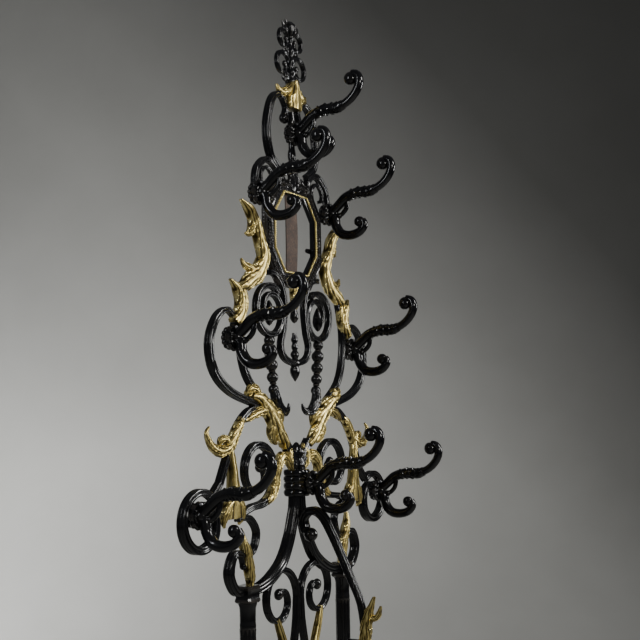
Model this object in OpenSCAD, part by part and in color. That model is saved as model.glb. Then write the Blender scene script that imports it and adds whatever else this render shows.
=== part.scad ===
// Standing coat rack of cast iron. A flat frame of scrolls with gilded leaves stands
// on two posts. It carries eight double hooks, a framed opening for a mirror, a front
// strut, an umbrella guard and a base with a lift-out drip tray.
// The frame lies in the plane y = frame_y, its front faces -Y and the floor is z = 0.
// Crown outlines are drawn as [x, h] in mm, where h is the height above the post tops
// at the crown's drawn size, and at() fits them to the sizes below.

/* [Overall] */
// Height of the post tops above the floor
post_top = 870; // [730:5:1050]
// Height of the crown above the post tops
crown_h = 1230; // [1020:5:1480]
// Distance between the two outermost hooks
crown_w = 730; // [605:5:880]
// Distance between the centres of the two posts
post_gap = 386; // [320:2:465]
// Distance of the frame's plane behind the middle of the base
frame_y = 100; // [90:1:110]

/* [Bars] */
// Width of the crown's scroll bars
bar_w = 12; // [10:0.5:14.5]
// Thickness of the crown's scroll bars, front to back
bar_t = 15; // [12.5:0.5:18]
// Width of the two arch bars
arch_w = 20; // [16:0.5:24]
// Thickness of the arch bars, front to back
arch_t = 20; // [16.5:0.5:24]
// Diameter of the posts
post_d = 32; // [26:0.5:39]
// Thickness of the gilded leaves, front to back
leaf_t = 22; // [18:0.5:26.5]

/* [Mirror frame] */
// Width of the mirror opening
mirror_w = 168; // [140:1:202]
// Height of the mirror opening
mirror_h = 172; // [143:1:206]
// Width of the frame around the opening
rail_w = 32; // [26:0.5:38]
// Thickness of the frame, front to back
rail_t = 14; // [12:0.5:17]
// Width of the strap across the frame's back
strap_w = 46; // [38:1:55]
// Thickness of the strap and of the turn buttons
strap_t = 2.5; // [2:0.1:3]
// Length of each turn button
button_len = 30; // [25:0.5:36]
// Running clearance of the turn buttons
button_gap = 0.3; // [0.2:0.05:0.5]

/* [Hooks] */
// Distance from the frame's plane to the tip of a hook
hook_reach = 180; // [150:1:216]
// Diameter of the hook arms
hook_d = 19; // [15.5:0.5:22]
// Radius of a hook's round foot
rosette_r = 27; // [23:0.5:32]
// Radius of the hook screws' shanks
screw_r = 2.5; // [2:0.1:3]

/* [Collar and strut] */
// Radius of the collar that binds the two arch bars
collar_r = 29; // [27:0.5:34]
// Height of the collar
collar_h = 57; // [48:1:68]
// Thickness of the front strut, left to right
strut_t = 14; // [12:0.5:17]

/* [Base and tray] */
// Height of the umbrella guard above the floor
guard_z = 700; // [583:5:800]
// Distance the umbrella guard reaches in front of the frame's plane
guard_reach = 172; // [145:1:205]
// Width of the base on each side of the tray's opening
base_side = 83; // [74:1:100]
// Depth of the base in front of the tray's opening
base_front = 32; // [28:1:38]
// Depth of the base behind the frame's plane
base_back = 40; // [35:1:48]
// Gap between the posts and the tray's well, front to back
post_to_tray = 30; // [25:1:36]
// Thickness of the base casting
base_t = 18; // [15:0.5:22]
// Height of the feet
foot_h = 42; // [35:1:50]
// Width of the drip tray's well
tray_w = 370; // [305:5:445]
// Depth of the drip tray's well, front to back
tray_d = 160; // [133:1:192]
// Wall of the drip tray
tray_wall = 3; // [2.5:0.1:3.6]
// Width of the rim that the tray hangs by
tray_rim = 9; // [7.5:0.5:11]
// Gap between the tray and the base's opening, all round
tray_gap = 2; // [1.5:0.1:2.5]

/* [Hidden] */

iron = [0.08, 0.08, 0.09];
gilt = [0.78, 0.62, 0.28];
rust = [0.42, 0.33, 0.27];

// The crown's drawn size, which at() scales to the size asked for
drawn_h = 1230;
drawn_w = 730;
drawn_gap = 386;
kx = crown_w / drawn_w;
kz = crown_h / drawn_h;
kp = post_gap / drawn_gap;
post_x = post_gap / 2;
base_top = foot_h + base_t;
round_fn = 40;
steps = 5;

// Where the hooks are fixed, as [x, h], and the middles of the main shapes
row_top = [0, 970];
row_2 = [146, 813];
row_3 = [245, 504];
row_4 = [365, 167];
ring_mid = [348, 155];
spiral_mid = [152, 233];
volute_mid = [99, 572];
mirror_mid = [0, 746];
collar_mid = 207;
boss_t = 12;
hook_foot = 10;
lug_r = 8;

function at(p) = [p[0] * kx, post_top + p[1] * kz];
function crown(P) = [for (p = P) at(p)];
function between(P) = [for (p = P) [p[0] * kp, post_top + p[1]]];
function flip(P) = [for (p = P) [-p[0], p[1]]];
function turned(P) = [for (i = [len(P) - 1:-1:0]) P[i]];

// A smooth line through a list of points
function knot(a, b, c, d, t) = 0.5 * (2 * b + (c - a) * t
    + (2 * a - 5 * b + 4 * c - d) * t * t + (3 * b - a - 3 * c + d) * t * t * t);
function curve(P, n = steps) = concat([for (i = [0:len(P) - 2]) for (k = [0:n - 1])
    knot(P[max(i - 1, 0)], P[i], P[i + 1], P[min(i + 2, len(P) - 1)], k / n)],
    [P[len(P) - 1]]);

// A spiral about c from radius r0 at angle a0 to radius r1 at angle a1
function spiral(c, r0, r1, a0, a1, n = 12, e = 1) = [for (i = [0:n])
    let (t = i / n, a = a0 + (a1 - a0) * t, r = r0 + (r1 - r0) * pow(t, e))
    c + r * [cos(a), sin(a)]];

// The value at t from 0 to 1 along an evenly spaced list
function along(W, t) = let (s = t * (len(W) - 1), i = min(floor(s), len(W) - 2))
    W[i] + (W[i + 1] - W[i]) * (s - i);
function heading(P, i) = let (d = P[min(i + 1, len(P) - 1)] - P[max(i - 1, 0)])
    d / norm(d);
function edge(P, W, side) = [for (i = [0:len(P) - 1])
    let (d = heading(P, i)) P[i] + side * along(W, i / (len(P) - 1)) * [-d[1], d[0]]];

// A bar that follows the line P, with the half-widths W along it
function ribbon(P, W) = concat(edge(P, W, 1), turned(edge(P, W, -1)));

// An outline in the frame's plane, given a thickness about that plane
module plate(P, t, forward = 0) {
    translate([0, frame_y + t / 2 - forward, 0])
        rotate([90, 0, 0]) linear_extrude(t) polygon(P);
}
module bar(P, w = bar_w, t = bar_t) { plate(ribbon(P, [w / 2, w / 2]), t); }
module leaf(P, W, t = leaf_t) { plate(ribbon(curve(P), W), t); }
module side(s) {
    if (s < 0) mirror([1, 0, 0]) children();
    else children();
}
module both() { children(); mirror([1, 0, 0]) children(); }

// A turned piece about the vertical line through [x, z], drawn as [radius, height]
module turned_piece(p, P) {
    translate([p[0], frame_y, p[1]]) rotate_extrude($fn = round_fn) polygon(P);
}

// A round rod of varying radius along the line P in a plane of constant x.
// P is [distance in front of the frame's plane, height].
module rod(P, R, n = 8) {
    points = [for (i = [0:len(P) - 1]) for (k = [0:n - 1])
        let (d = heading(P, i), r = along(R, i / (len(P) - 1)), a = 360 * (k + 0.5) / n)
        [r * cos(a), -P[i][0] + r * sin(a) * d[1], P[i][1] + r * sin(a) * d[0]]];
    last = (len(P) - 1) * n;
    sides = [for (i = [0:len(P) - 2]) for (k = [0:n - 1]) let (m = (k + 1) % n)
        each [[i * n + k, (i + 1) * n + m, i * n + m],
              [i * n + k, (i + 1) * n + k, (i + 1) * n + m]]];
    ends = [[for (k = [0:n - 1]) k], [for (k = [n - 1:-1:0]) last + k]];
    polyhedron(points, concat(sides, ends));
}

// ---- Finial and crest ----
finial_foot = 1084;
scroll_low = [36 / kx, 1121];
scroll_high = [27 / kx, 1184];
module finial_scroll(c, r) {
    bar(spiral(at(c), r, r * 0.35, 235, -170, 14), bar_w * 0.6, bar_t * 0.8);
}
module finial() color(iron) {
    foot = at([0, finial_foot]);
    top = post_top + crown_h - foot[1];
    bud = top - 46;
    turned_piece(foot, [[0, 0], [11, 0], [13, 8], [9, 16], [12, 26], [8, 36], [11, 52],
        [7, 64], [10, 76], [6, bud - 14], [6, bud], [11, bud + 6], [15, bud + 18],
        [12, bud + 34], [4, bud + 44], [0, top]]);
    both() {
        finial_scroll(scroll_low, 27);
        finial_scroll(scroll_high, 21);
    }
}
module crest_leaf() color(gilt)
    plate(concat(curve(crown([[0, 1014], [34, 1022], [56, 1042], [66, 1070]])),
        curve(crown([[46, 1060], [30, 1084], [0, 1092]])),
        curve(crown([[-30, 1084], [-46, 1060]])),
        curve(crown([[-66, 1070], [-56, 1042], [-34, 1022]]))), leaf_t);
crest_line = [[30, 1006], [24, 1028], [48, 1050], [82, 1030], [103, 965], [90, 908],
    [58, 884]];
module crest_bars() color(iron) both() bar(curve(crown(crest_line)), bar_w * 0.9);
module crest_stem() color(iron) plate(ribbon(crown([[0, 884], [0, 930], [0, 1020]]),
    [8, 7, 7]), bar_t);

// ---- Mirror frame ----
loop_line = [[64, 832], [62, 868], [82, 890], [112, 892], [142, 868], [150, 838],
    row_2];
module loops() color(iron) both() bar(curve(crown(loop_line)));
function octagon(w, h, c) = [[w / 2, h / 2 - c], [w / 2 - c * 0.8, h / 2],
    [c * 0.8 - w / 2, h / 2], [-w / 2, h / 2 - c], [-w / 2, c - h / 2],
    [c * 0.8 - w / 2, -h / 2], [w / 2 - c * 0.8, -h / 2], [w / 2, c - h / 2]];
function placed(P, c) = [for (p = P) p + c];
rope_w = 5;
module ring_plate(grow_out, grow_in, t, forward) {
    corner = mirror_w * 2 / 7;
    mid = at(mirror_mid);
    difference() {
        plate(placed(octagon(mirror_w + 2 * grow_out, mirror_h + 2 * grow_out,
            corner + grow_out * 0.45), mid), t, forward);
        plate(placed(octagon(mirror_w + 2 * grow_in, mirror_h + 2 * grow_in,
            corner + grow_in * 0.45), mid), t + 2, forward);
    }
}
button_screw_x = mirror_w / 2 + 10;
button_h = 720;
strap_screw_z = mirror_h / 2 + rail_w / 2;
module mirror_frame() color(iron) difference() {
    ring_plate(rail_w, 0, rail_t, 0);
    both() translate([button_screw_x, frame_y, at([0, button_h])[1]])
        rotate([-90, 0, 0]) cylinder(h = rail_t, r = screw_r, $fn = round_fn);
}
module rope_edge() color(gilt) ring_plate(rope_w, 0, 4, rail_t / 2 + 2);
module frame_leaf() color(iron)
    plate(concat(crown([[0, 842], [30, 846]]), curve(crown([[44, 866], [22, 874]])),
        crown([[0, 900]]), curve(crown([[-22, 874], [-44, 866]])), crown([[-30, 846]])),
        rail_t + 2, 1);
module back_strap() color(rust)
    translate([-strap_w / 2, frame_y + rail_t / 2, at(mirror_mid)[1] - strap_screw_z - 8])
        cube([strap_w, strap_t, 2 * strap_screw_z + 16]);
module back_screw(x, z, head_y) {
    translate([x, head_y, z]) rotate([-90, 0, 0])
        cylinder(h = 2.5, r = screw_r * 2, $fn = round_fn);
    translate([x, frame_y + 1, z]) rotate([-90, 0, 0])
        cylinder(h = head_y + 1 - frame_y, r = screw_r, $fn = round_fn);
}
module back_screws() color(iron) {
    back = frame_y + rail_t / 2;
    for (s = [-1, 1]) {
        back_screw(0, at(mirror_mid)[1] + s * strap_screw_z, back + strap_t);
        back_screw(s * button_screw_x, at([0, button_h])[1],
            back + strap_t + 2 * button_gap);
    }
}
// A flat button that swings about its screw on the frame's back
module turn_button(s) color(iron) side(s)
    translate([button_screw_x, frame_y + rail_t / 2 + button_gap, at([0, button_h])[1]])
        rotate([-90, 0, 0]) difference() {
            linear_extrude(strap_t) polygon(concat(
                spiral([0, 0], 7, 7, -90, 90, 8),
                spiral([7 - button_len, 0], 5, 5, 90, 270, 8)));
            translate([0, 0, -1]) cylinder(h = strap_t + 2, r = screw_r + 0.05,
                $fn = round_fn);
        }

// ---- Leaves and bars beside and below the mirror frame ----
frame_side = (mirror_w / 2 + rail_w) / kx;
module side_leaf(s) color(gilt) side(s)
    leaf(crown([[192, 780], [152, 744], [frame_side + 12 / kx, 708],
        [frame_side + 16 / kx, 676], [148, 646], [184, 618], [218, 610]]),
        [4, 10, 16, 17, 18, 13, 5]);
module heel_leaves() color(gilt) both()
    leaf(crown([[240, 606], [214, 592], [205, 568], [222, 548], [250, 546]]),
        [4, 10, 12, 9, 6]);
lyre_in = volute_mid[0] - 52 / kx;
lyre_line = [[lyre_in + 53, 652], [lyre_in + 31, 650], [lyre_in + 5, 628],
    [lyre_in - 7, 588], [lyre_in, 535], [lyre_in + 11, 500], [lyre_in - 3, 474], [0, 463]];
module lyre_bar() color(iron) {
    half = crown(lyre_line);
    bar(curve(concat(half, [for (i = [len(half) - 2:-1:0]) flip(half)[i]])));
}
module pendants() color(iron) {
    turned_piece(at([0, 423]), [[0, 0], [3, 4], [9, 16], [10, 28], [8, 34], [11, 37],
        [11, 46], [6, 50], [9, 58], [9, 62], [5, 68], [7, 76], [5, 84], [8, 92],
        [6, 102], [0, 106]]);
    turned_piece(at([0, 550]), [[0, 0], [5, 3], [9, 14], [8, 24], [4, 34], [4, 76],
        [0, 76]]);
}
module drop_leaf() color(gilt)
    leaf(crown([[0, 634], [0, 606], [0, 580]]), [20, 14, 5]);
module volutes() color(iron) both() {
    bar(concat(spiral(at(volute_mid), 52, 52, 120, -120, 16),
        spiral(at(volute_mid), 51, 16, -135, -400, 14)));
    turned_piece(at([104, 540]), [[0, 0], [5, 4], [11, 18], [10, 34], [3, 50], [0, 54]]);
}
drop_top = [103, 520];
drop_low = [86, 392];
beads = [12, 14, 13.5, 12.5, 11.5];
module bead_drops() color(iron) both() {
    leaf(crown([[86, 396], [80, 374], [58, 360], [36, 358], [24, 370]]),
        [8, 10, 8, 6, 4], bar_t + 4);
    a = at(drop_top);
    b = at(drop_low);
    long = norm(b - a);
    lean = atan2(b[0] - a[0], b[1] - a[1]);
    translate([a[0], frame_y, a[1]]) rotate([0, lean, 0]) {
        cylinder(h = long, r = 4.5, $fn = round_fn);
        for (i = [0:len(beads) - 1])
            translate([0, 0, long * (i + 0.5) / len(beads)])
                sphere(r = beads[i], $fn = round_fn);
    }
}
heart_out_line = [[236, 524], [232, 546], [258, 560], [294, 540], [316, 490],
    [300, 436], [246, 398], [148, 372]];
heart_in_line = [[190, 614], [212, 545], [209, 480], [184, 424], [126, 380]];
module heart(s) color(iron) side(s) {
    bar(curve(crown(heart_out_line)));
    bar(curve(crown(heart_in_line)));
}
module junction_leaf(s) color(gilt) side(s)
    leaf(crown([[176, 388], [136, 376], [100, 350], [72, 316], [50, 290]]),
        [6, 18, 26, 18, 7], leaf_t + 2);

// ---- Outer scrolls ----
c_line = [[148, 368], [184, 360], [216, 338], [244, 304], [262, 268], [286, 222]];
module c_scroll(s) color(iron) side(s)
    bar(concat(curve(crown(c_line)), spiral(at(ring_mid), 54, 54, 130, -130, 16),
        spiral(at(ring_mid), 53, 16, -145, -325, 8)));
module cuff_leaves() color(gilt) both() {
    leaf(crown([[210, 342], [236, 314], [254, 284]]), [9, 14, 12]);
    leaf(crown([[246, 296], [282, 284], [314, 296], [330, 326]]), [9, 12, 9, 4], leaf_t - 4);
}
module fluted_leaves() color(gilt) both()
    leaf(crown([[256, 292], [248, 232], [245, 190], [244, 154], [232, 122]]),
        [9, 12, 27, 36, 5]);
module spiral_scroll(s) color(iron) side(s)
    bar(concat(curve(crown([[228, 148], [204, 160], [176, 168]])),
        spiral(at(spiral_mid), 63, 59, -90, -270, 12),
        spiral(at(spiral_mid), 58, 15, -285, -600, 18)));
module scroll_sleeves() color(gilt) both()
    leaf(concat(spiral(at(spiral_mid), 63, 62, -122, -168, 2),
        crown([[78, 246], [58, 260], [44, 248]])), [8, 11, 10, 8, 5]);
tail_line = [[216, 150], [184, 146], [160, 118], [172, 84], [196, 74]];
post_curl_line = [[200, 6], [234, 10], [256, 44], [242, 80], [214, 78], [206, 56]];
module tail_scrolls() color(iron) both() {
    bar(curve(crown(tail_line)));
    bar(curve([for (p = post_curl_line) [post_x - drawn_gap / 2 + p[0],
        post_top + p[1]]]));
}
module post_leaves() color(gilt) both()
    leaf(concat(crown([[214, 124], [204, 86]]),
        [[post_x - 2, post_top + 46], [post_x - 8, post_top + 16]]), [5, 13, 14, 9]);

// ---- Collar and arch ----
collar_z = at([0, collar_mid])[1] - collar_h / 2;
collar_ribs = 4;
module collar() color(iron) turned_piece([0, collar_z], concat([[0, 0]],
    [for (i = [0:collar_ribs - 1]) for (q = [[-3, 0], [0, 0.25], [0, 0.75], [-3, 1]])
        [collar_r + q[0], (i + q[1]) * collar_h / collar_ribs + (q[0] < 0 ?
            (q[1] > 0 ? -0.5 : i > 0 ? 0.5 : 0) + (q[1] > 0 && i == collar_ribs - 1 ?
            0.5 : 0) : 0)]], [[0, collar_h]]));
module centre_bud() color(iron) turned_piece([0, collar_z + collar_h],
    [[0, 0], [15, 0], [17, 12], [12, 26], [15, 36], [11, 48], [0, 58]]);
module bud_leaves() color(gilt) both()
    leaf([[22, collar_z + collar_h], [36, collar_z + collar_h + 24],
        [26, collar_z + collar_h + 54]], [5, 11, 4]);
arch_mid = arch_w / 2 + 2;
module arch_bars() color(iron) both()
    bar(curve(concat([[post_x - 12, post_top + 4]],
        between([[150, 7], [111, 19], [66, 48], [36, 92], [20, 134]]),
        [[arch_mid, collar_z - 14], [arch_mid, collar_z + collar_h]],
        crown([[26, 268], [50, 296]]))), arch_w, arch_t);

// ---- Posts and lower panel ----
cap_h = 32;
module post(s) color(iron) {
    long = post_top - base_top;
    r = post_d / 2;
    turned_piece([s * post_x, base_top], [[0, 0], [r + 9, 0], [r + 9, 14], [r + 3, 20],
        [r + 6, 30], [r, 38], [r, long - 62], [r + 4, long - 56], [r + 4, long - 48],
        [r, long - 42], [r, long - 10], [0, long - 10]]);
    translate([s * post_x - r - 6, frame_y - r - 4, post_top - 15])
        cube([post_d + 12, post_d + 8, cap_h]);
}
crook_x = 74;
crook_r = crook_x - bar_w / 2 - 1;
crook_top = post_top - 30;
rail_h = 14;
low_rail_z = base_top + 42;
crook_low = low_rail_z + rail_h + 57;
bulge = 74;
module inner_scrolls() color(iron) both() {
    high = [crook_x * kp, crook_top];
    low = [crook_x * kp, crook_low];
    foot_x = bar_w / 2 + 1;
    r = crook_x * kp - foot_x;
    stem = [for (i = [1:13]) let (t = i / 14)
        [foot_x + bulge * kp * pow(sin(180 * t), 2), crook_top + (crook_low - crook_top) * t]];
    bar(concat(turned(spiral(high, r, 13, 180, -290, 22, 1.3)), stem,
        spiral(low, r, 13, -180, 290, 22, 1.3)));
}
module tail_leaves() color(gilt) both()
    leaf([[88 * kp, post_top - 70], [72 * kp, post_top - 104],
        [52 * kp, post_top - 146], [34 * kp, post_top - 190]], [6, 9, 10, 5]);
module rails() color(iron) for (z = [guard_z, low_rail_z])
    translate([-post_x, frame_y - bar_t / 2, z]) cube([post_gap, bar_t, rail_h]);
module panel_leaf() color(gilt)
    leaf([[0, crook_low + 110], [0, crook_low + 70], [0, crook_low + 24]], [5, 20, 8]);

// ---- Front strut and umbrella guard ----
strut_line = [[30, 98], [17, 112], [17, 132], [30, 146], [48, 148], [66, 134], [84, 104], [104, 63],
    [130, 8], [150, -38]];
strut_ball = [33, 98];
function forward_of(P) = [for (p = P) [p[0], post_top + p[1]]];
module strut_plate(P, W, t) translate([-t / 2, frame_y, 0])
    rotate([90, 0, 90]) linear_extrude(t) polygon([for (p = ribbon(P, W)) [-p[0], p[1]]]);
module front_strut() color(iron) {
    strut_plate(curve(concat(forward_of(strut_line),
        [[guard_reach - 12, (post_top + guard_z) / 2 - 20], [guard_reach - 6, guard_z]])),
        [7, 7], strut_t);
    translate([0, frame_y - strut_ball[0], post_top + strut_ball[1]])
        sphere(r = 12, $fn = round_fn);
    translate([0, frame_y - 50, post_top + 140]) rotate([-90, 0, 0])
        cylinder(h = 50 - arch_t / 2 + 4, r = lug_r, $fn = round_fn);
}
module strut_leaf() color(gilt)
    strut_plate(curve([[178, post_top - 28], [166, post_top - 60],
        [160, post_top - 104], [guard_reach - 2, guard_z + 4]]), [4, 9, 11, 6], strut_t + 6);
guard_w = 12;
guard_line = [[1, 0], [0.99, -0.3], [0.86, -0.62], [0.5, -0.9], [0, -1]];
module guard_bar() color(iron) {
    half = [for (p = guard_line) [p[0] * post_x, frame_y + p[1] * guard_reach]];
    translate([0, 0, guard_z]) linear_extrude(rail_h)
        polygon(ribbon(curve(concat(half, [for (i = [len(half) - 2:-1:0]) flip(half)[i]])),
            [guard_w / 2, guard_w / 2]));
}
foot_scroll_line = [[0.0, 300], [28, 262], [46, 196], [52, 130], [46, 70], [24, 44],
    [8, 60]];
module foot_scrolls() color(iron) both()
    bar(curve([for (p = foot_scroll_line)
        [post_x + post_d / 2 - 3 + p[0], base_top + p[1] - 38]]));

// ---- Base, feet and tray ----
function round_box(w, d, r) = [for (q = [[1, 1, 0], [-1, 1, 90], [-1, -1, 180],
    [1, -1, 270]]) for (k = [0:6]) [q[0] * (w / 2 - r) + r * cos(q[2] + 15 * k),
    q[1] * (d / 2 - r) + r * sin(q[2] + 15 * k)]];
tray_r = 24;
tray_y = frame_y - post_d / 2 - post_to_tray - tray_d / 2;
tray_depth = 38;
base_x = tray_w / 2 + tray_gap + base_side;
front_y = tray_y - tray_d / 2 - tray_gap - base_front;
back_y = frame_y + base_back;
module base() color(iron) translate([0, 0, foot_h]) linear_extrude(base_t)
    difference() {
        right = [[base_x - 105, front_y], [base_x - 22, front_y + 50],
            [base_x, tray_y + 46], [base_x, back_y - 12], [base_x - 12, back_y]];
        polygon(concat(right, turned(flip(right))));
        translate([0, tray_y]) polygon(round_box(tray_w + 2 * tray_gap,
            tray_d + 2 * tray_gap, tray_r + tray_gap));
    }
foot_r = 20;
module feet() color(iron) for (p = [[base_x - 34, back_y - 34],
        [base_x - base_side + foot_r + 7, front_y + 52]]) for (s = [-1, 1])
    translate([s * p[0], p[1], 0]) rotate_extrude($fn = round_fn)
        polygon([[0, 0], [12, 0], [17, 5], [foot_r, 14], [17, 25], [12, 30],
            [16, foot_h], [0, foot_h]]);
module drip_tray() color(iron) translate([0, tray_y, 0]) difference() {
    union() {
        translate([0, 0, base_top - tray_depth]) linear_extrude(tray_depth)
            polygon(round_box(tray_w, tray_d, tray_r));
        translate([0, 0, base_top]) linear_extrude(tray_wall)
            polygon(round_box(tray_w + 2 * tray_rim, tray_d + 2 * tray_rim,
                tray_r + tray_rim));
    }
    translate([0, 0, base_top - tray_depth + tray_wall])
        linear_extrude(tray_depth + tray_wall)
            polygon(round_box(tray_w - 2 * tray_wall, tray_d - 2 * tray_wall,
                tray_r - tray_wall));
}

// ---- Hooks ----
// A hook's two arms and its brace, as [distance from the frame's plane, height]
upper_line = [[12, 0], [32, 16], [54, 34], [82, 42], [112, 42], [140, 53], [159, 71],
    [167, 91], [162, 107], [150, 111]];
lower_line = [[12, 0], [24, -10], [28, -30], [42, -49], [64, -54], [86, -48], [98, -34],
    [94, -22]];
brace_line = [[56, 30], [52, 10], [38, -4]];
upper_ball = [146, 101];
lower_ball = [86, -25];
kr = (hook_reach - hook_d / 2) / 167.5;
function reach(P) = [for (p = P) [hook_foot + (p[0] - hook_foot) * kr, p[1]]];
hook_screw_z = rosette_r - 6.5;
centre_forward = collar_r + 2;
module hook(x, z, forward) color(iron)
    translate([x, frame_y - forward, z]) {
        difference() {
            rotate([90, 0, 0]) translate([0, 0, boss_t / 2])
                cylinder(h = hook_foot, r = rosette_r, $fn = round_fn);
            for (s = [-1, 1]) translate([0, 0, s * hook_screw_z]) rotate([90, 0, 0])
                cylinder(h = 40, r = screw_r + 0.3, $fn = round_fn);
        }
        rod(curve(reach(upper_line), 3),
            [11, 11, 12.5, 13, 11.5, 9.5, 9.5, 9.5, 9] * hook_d / 19);
        rod(curve(reach(lower_line), 3), [11, 10, 10.5, 10.5, 10, 9, 8] * hook_d / 19);
        rod(curve(reach(brace_line), 3), [4.5, 5.5, 5.5]);
        for (b = [[upper_ball, 14.5], [lower_ball, 12]]) let (p = reach([b[0]])[0])
            translate([0, -p[0], p[1]]) sphere(r = b[1], $fn = round_fn);
    }
HOOKS = [["hook_top", row_top, 1], ["hook_row2_left", row_2, -1],
    ["hook_row2_right", row_2, 1], ["hook_row3_left", row_3, -1],
    ["hook_row3_right", row_3, 1], ["hook_row4_left", row_4, -1],
    ["hook_row4_right", row_4, 1]];
module hook_bosses() color(iron) {
    for (h = HOOKS) let (p = at(h[1]))
        translate([h[2] * p[0], frame_y + boss_t / 2, p[1]]) rotate([90, 0, 0])
            cylinder(h = boss_t, r = rosette_r - 3, $fn = round_fn);
    translate([0, frame_y, collar_z + collar_h / 2]) rotate([90, 0, 0])
        cylinder(h = centre_forward + boss_t / 2, r = rosette_r - 3, $fn = round_fn);
}
module screw_pair(x, z, forward) for (s = [-1, 1])
    translate([x, frame_y - forward - boss_t / 2, z + s * hook_screw_z])
        rotate([90, 0, 0]) {
            translate([0, 0, -8]) cylinder(h = hook_foot + 9, r = screw_r, $fn = round_fn);
            translate([0, 0, hook_foot])
                cylinder(h = 2.5, r = screw_r * 1.7, $fn = round_fn);
        }
module hook_screws() color([0.3, 0.3, 0.32]) {
    for (h = HOOKS) let (p = at(h[1])) screw_pair(h[2] * p[0], p[1], 0);
    screw_pair(0, collar_z + collar_h / 2, centre_forward);
}

finial();
crest_leaf();
crest_bars();
crest_stem();
loops();
mirror_frame();
rope_edge();
frame_leaf();
back_strap();
back_screws();
turn_button(-1);  // turn_button_left
turn_button(1);  // turn_button_right
side_leaf(-1);  // side_leaf_left
side_leaf(1);  // side_leaf_right
heel_leaves();
lyre_bar();
pendants();
drop_leaf();
volutes();
bead_drops();
heart(-1);  // heart_left
heart(1);  // heart_right
junction_leaf(-1);  // junction_leaf_left
junction_leaf(1);  // junction_leaf_right
c_scroll(-1);  // c_scroll_left
c_scroll(1);  // c_scroll_right
cuff_leaves();
fluted_leaves();
spiral_scroll(-1);  // spiral_left
spiral_scroll(1);  // spiral_right
scroll_sleeves();
tail_scrolls();
post_leaves();
collar();
centre_bud();
bud_leaves();
arch_bars();
post(-1);  // post_left
post(1);  // post_right
inner_scrolls();
tail_leaves();
rails();
panel_leaf();
front_strut();
strut_leaf();
guard_bar();
foot_scrolls();
base();
feet();
drip_tray();
hook_bosses();
hook_screws();
for (h = HOOKS) hook(h[2] * at(h[1])[0], at(h[1])[1], 0);
hook(0, collar_z + collar_h / 2, centre_forward);  // hook_centre
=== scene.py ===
# %% [markdown]
# # A gilded cast-iron coat rack
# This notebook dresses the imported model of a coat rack: black enamelled scrolls,
# gilded acanthus leaves and eight double hooks. The frame of parts is fixed, so every
# piece below is laid where its part already stands, and then stands in for it.

# %% Load the fixed frame
import math
import bmesh
import bpy
from mathutils import Matrix, Vector


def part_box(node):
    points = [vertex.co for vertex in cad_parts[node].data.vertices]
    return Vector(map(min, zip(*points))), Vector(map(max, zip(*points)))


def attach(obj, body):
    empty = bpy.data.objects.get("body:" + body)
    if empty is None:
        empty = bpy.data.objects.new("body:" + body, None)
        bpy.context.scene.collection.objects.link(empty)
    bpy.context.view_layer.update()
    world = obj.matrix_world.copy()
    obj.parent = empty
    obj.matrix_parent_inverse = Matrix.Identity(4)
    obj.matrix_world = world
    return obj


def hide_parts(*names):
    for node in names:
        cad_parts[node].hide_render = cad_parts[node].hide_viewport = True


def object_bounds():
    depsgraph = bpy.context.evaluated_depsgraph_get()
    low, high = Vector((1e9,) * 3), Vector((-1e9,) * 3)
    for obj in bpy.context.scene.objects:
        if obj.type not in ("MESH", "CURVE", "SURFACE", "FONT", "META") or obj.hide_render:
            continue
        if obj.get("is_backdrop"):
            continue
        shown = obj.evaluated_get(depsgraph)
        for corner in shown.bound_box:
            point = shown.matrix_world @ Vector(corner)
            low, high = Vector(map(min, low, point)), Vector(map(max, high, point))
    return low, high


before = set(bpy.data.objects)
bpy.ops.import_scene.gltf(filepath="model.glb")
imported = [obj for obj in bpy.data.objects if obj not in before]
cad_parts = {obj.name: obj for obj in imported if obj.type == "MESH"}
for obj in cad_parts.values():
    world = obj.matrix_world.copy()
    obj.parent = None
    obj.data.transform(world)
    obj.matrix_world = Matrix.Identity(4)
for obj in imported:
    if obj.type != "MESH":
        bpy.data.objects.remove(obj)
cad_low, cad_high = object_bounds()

MM = 0.001
TAU = 2 * math.pi
print("parts in the frame:", len(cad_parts))

# %% [markdown]
# ## Measures
# All places come from the boxes of a few parts: where the posts end, how far apart the
# outer hooks are and how tall the crown is. A drawing of the crown is kept in
# millimetres, as a distance from the middle and a height above the posts, and `at`
# lays it on the real frame.

# %% Measures taken from the frame
CAP_ABOVE = 17 * MM
DRAWN_CROWN, DRAWN_HALF, DRAWN_POST = 1.230, 0.365, 0.193


def middle(node):
    """The middle of a part's box."""
    low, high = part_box(node)
    return (Vector(low) + Vector(high)) / 2


post_x = middle("post_right").x
post_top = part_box("post_right")[1][2] - CAP_ABOVE
plane_y = middle("crest_stem").y
scale_x = middle("hook_row4_right").x / DRAWN_HALF
scale_z = (cad_high[2] - post_top) / DRAWN_CROWN
scale_p = post_x / DRAWN_POST
base_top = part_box("base")[1][2]
collar_low, collar_high = (corner[2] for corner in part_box("collar"))
print("post tops at", round(post_top, 3), "m, crown scale", round(scale_z, 3))


def at(x, h):
    """A point of the crown's drawing as (x, z) in metres."""
    return (x * MM * scale_x, post_top + h * MM * scale_z)


def crown(points):
    return [at(x, h) for x, h in points]


def between(points):
    """Like crown, for the pieces that hang between the two posts."""
    return [(x * MM * scale_p, post_top + h * MM) for x, h in points]


def flip(points):
    return [(-x, z) for x, z in points]


SIDES = ((-1, "left"), (1, "right"))


def on_side(points, s):
    return points if s > 0 else flip(points)


# %% [markdown]
# ## Camera, floor and light
# The camera stands low at the rack's left front, about two metres off, with a normal
# lens, so the flat frame is seen at a slant and only its upper part fills the picture.
# A pale floor runs up into a wall. Soft lamps and a weak sky leave black enamel
# deep, with a few long highlights.

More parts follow.
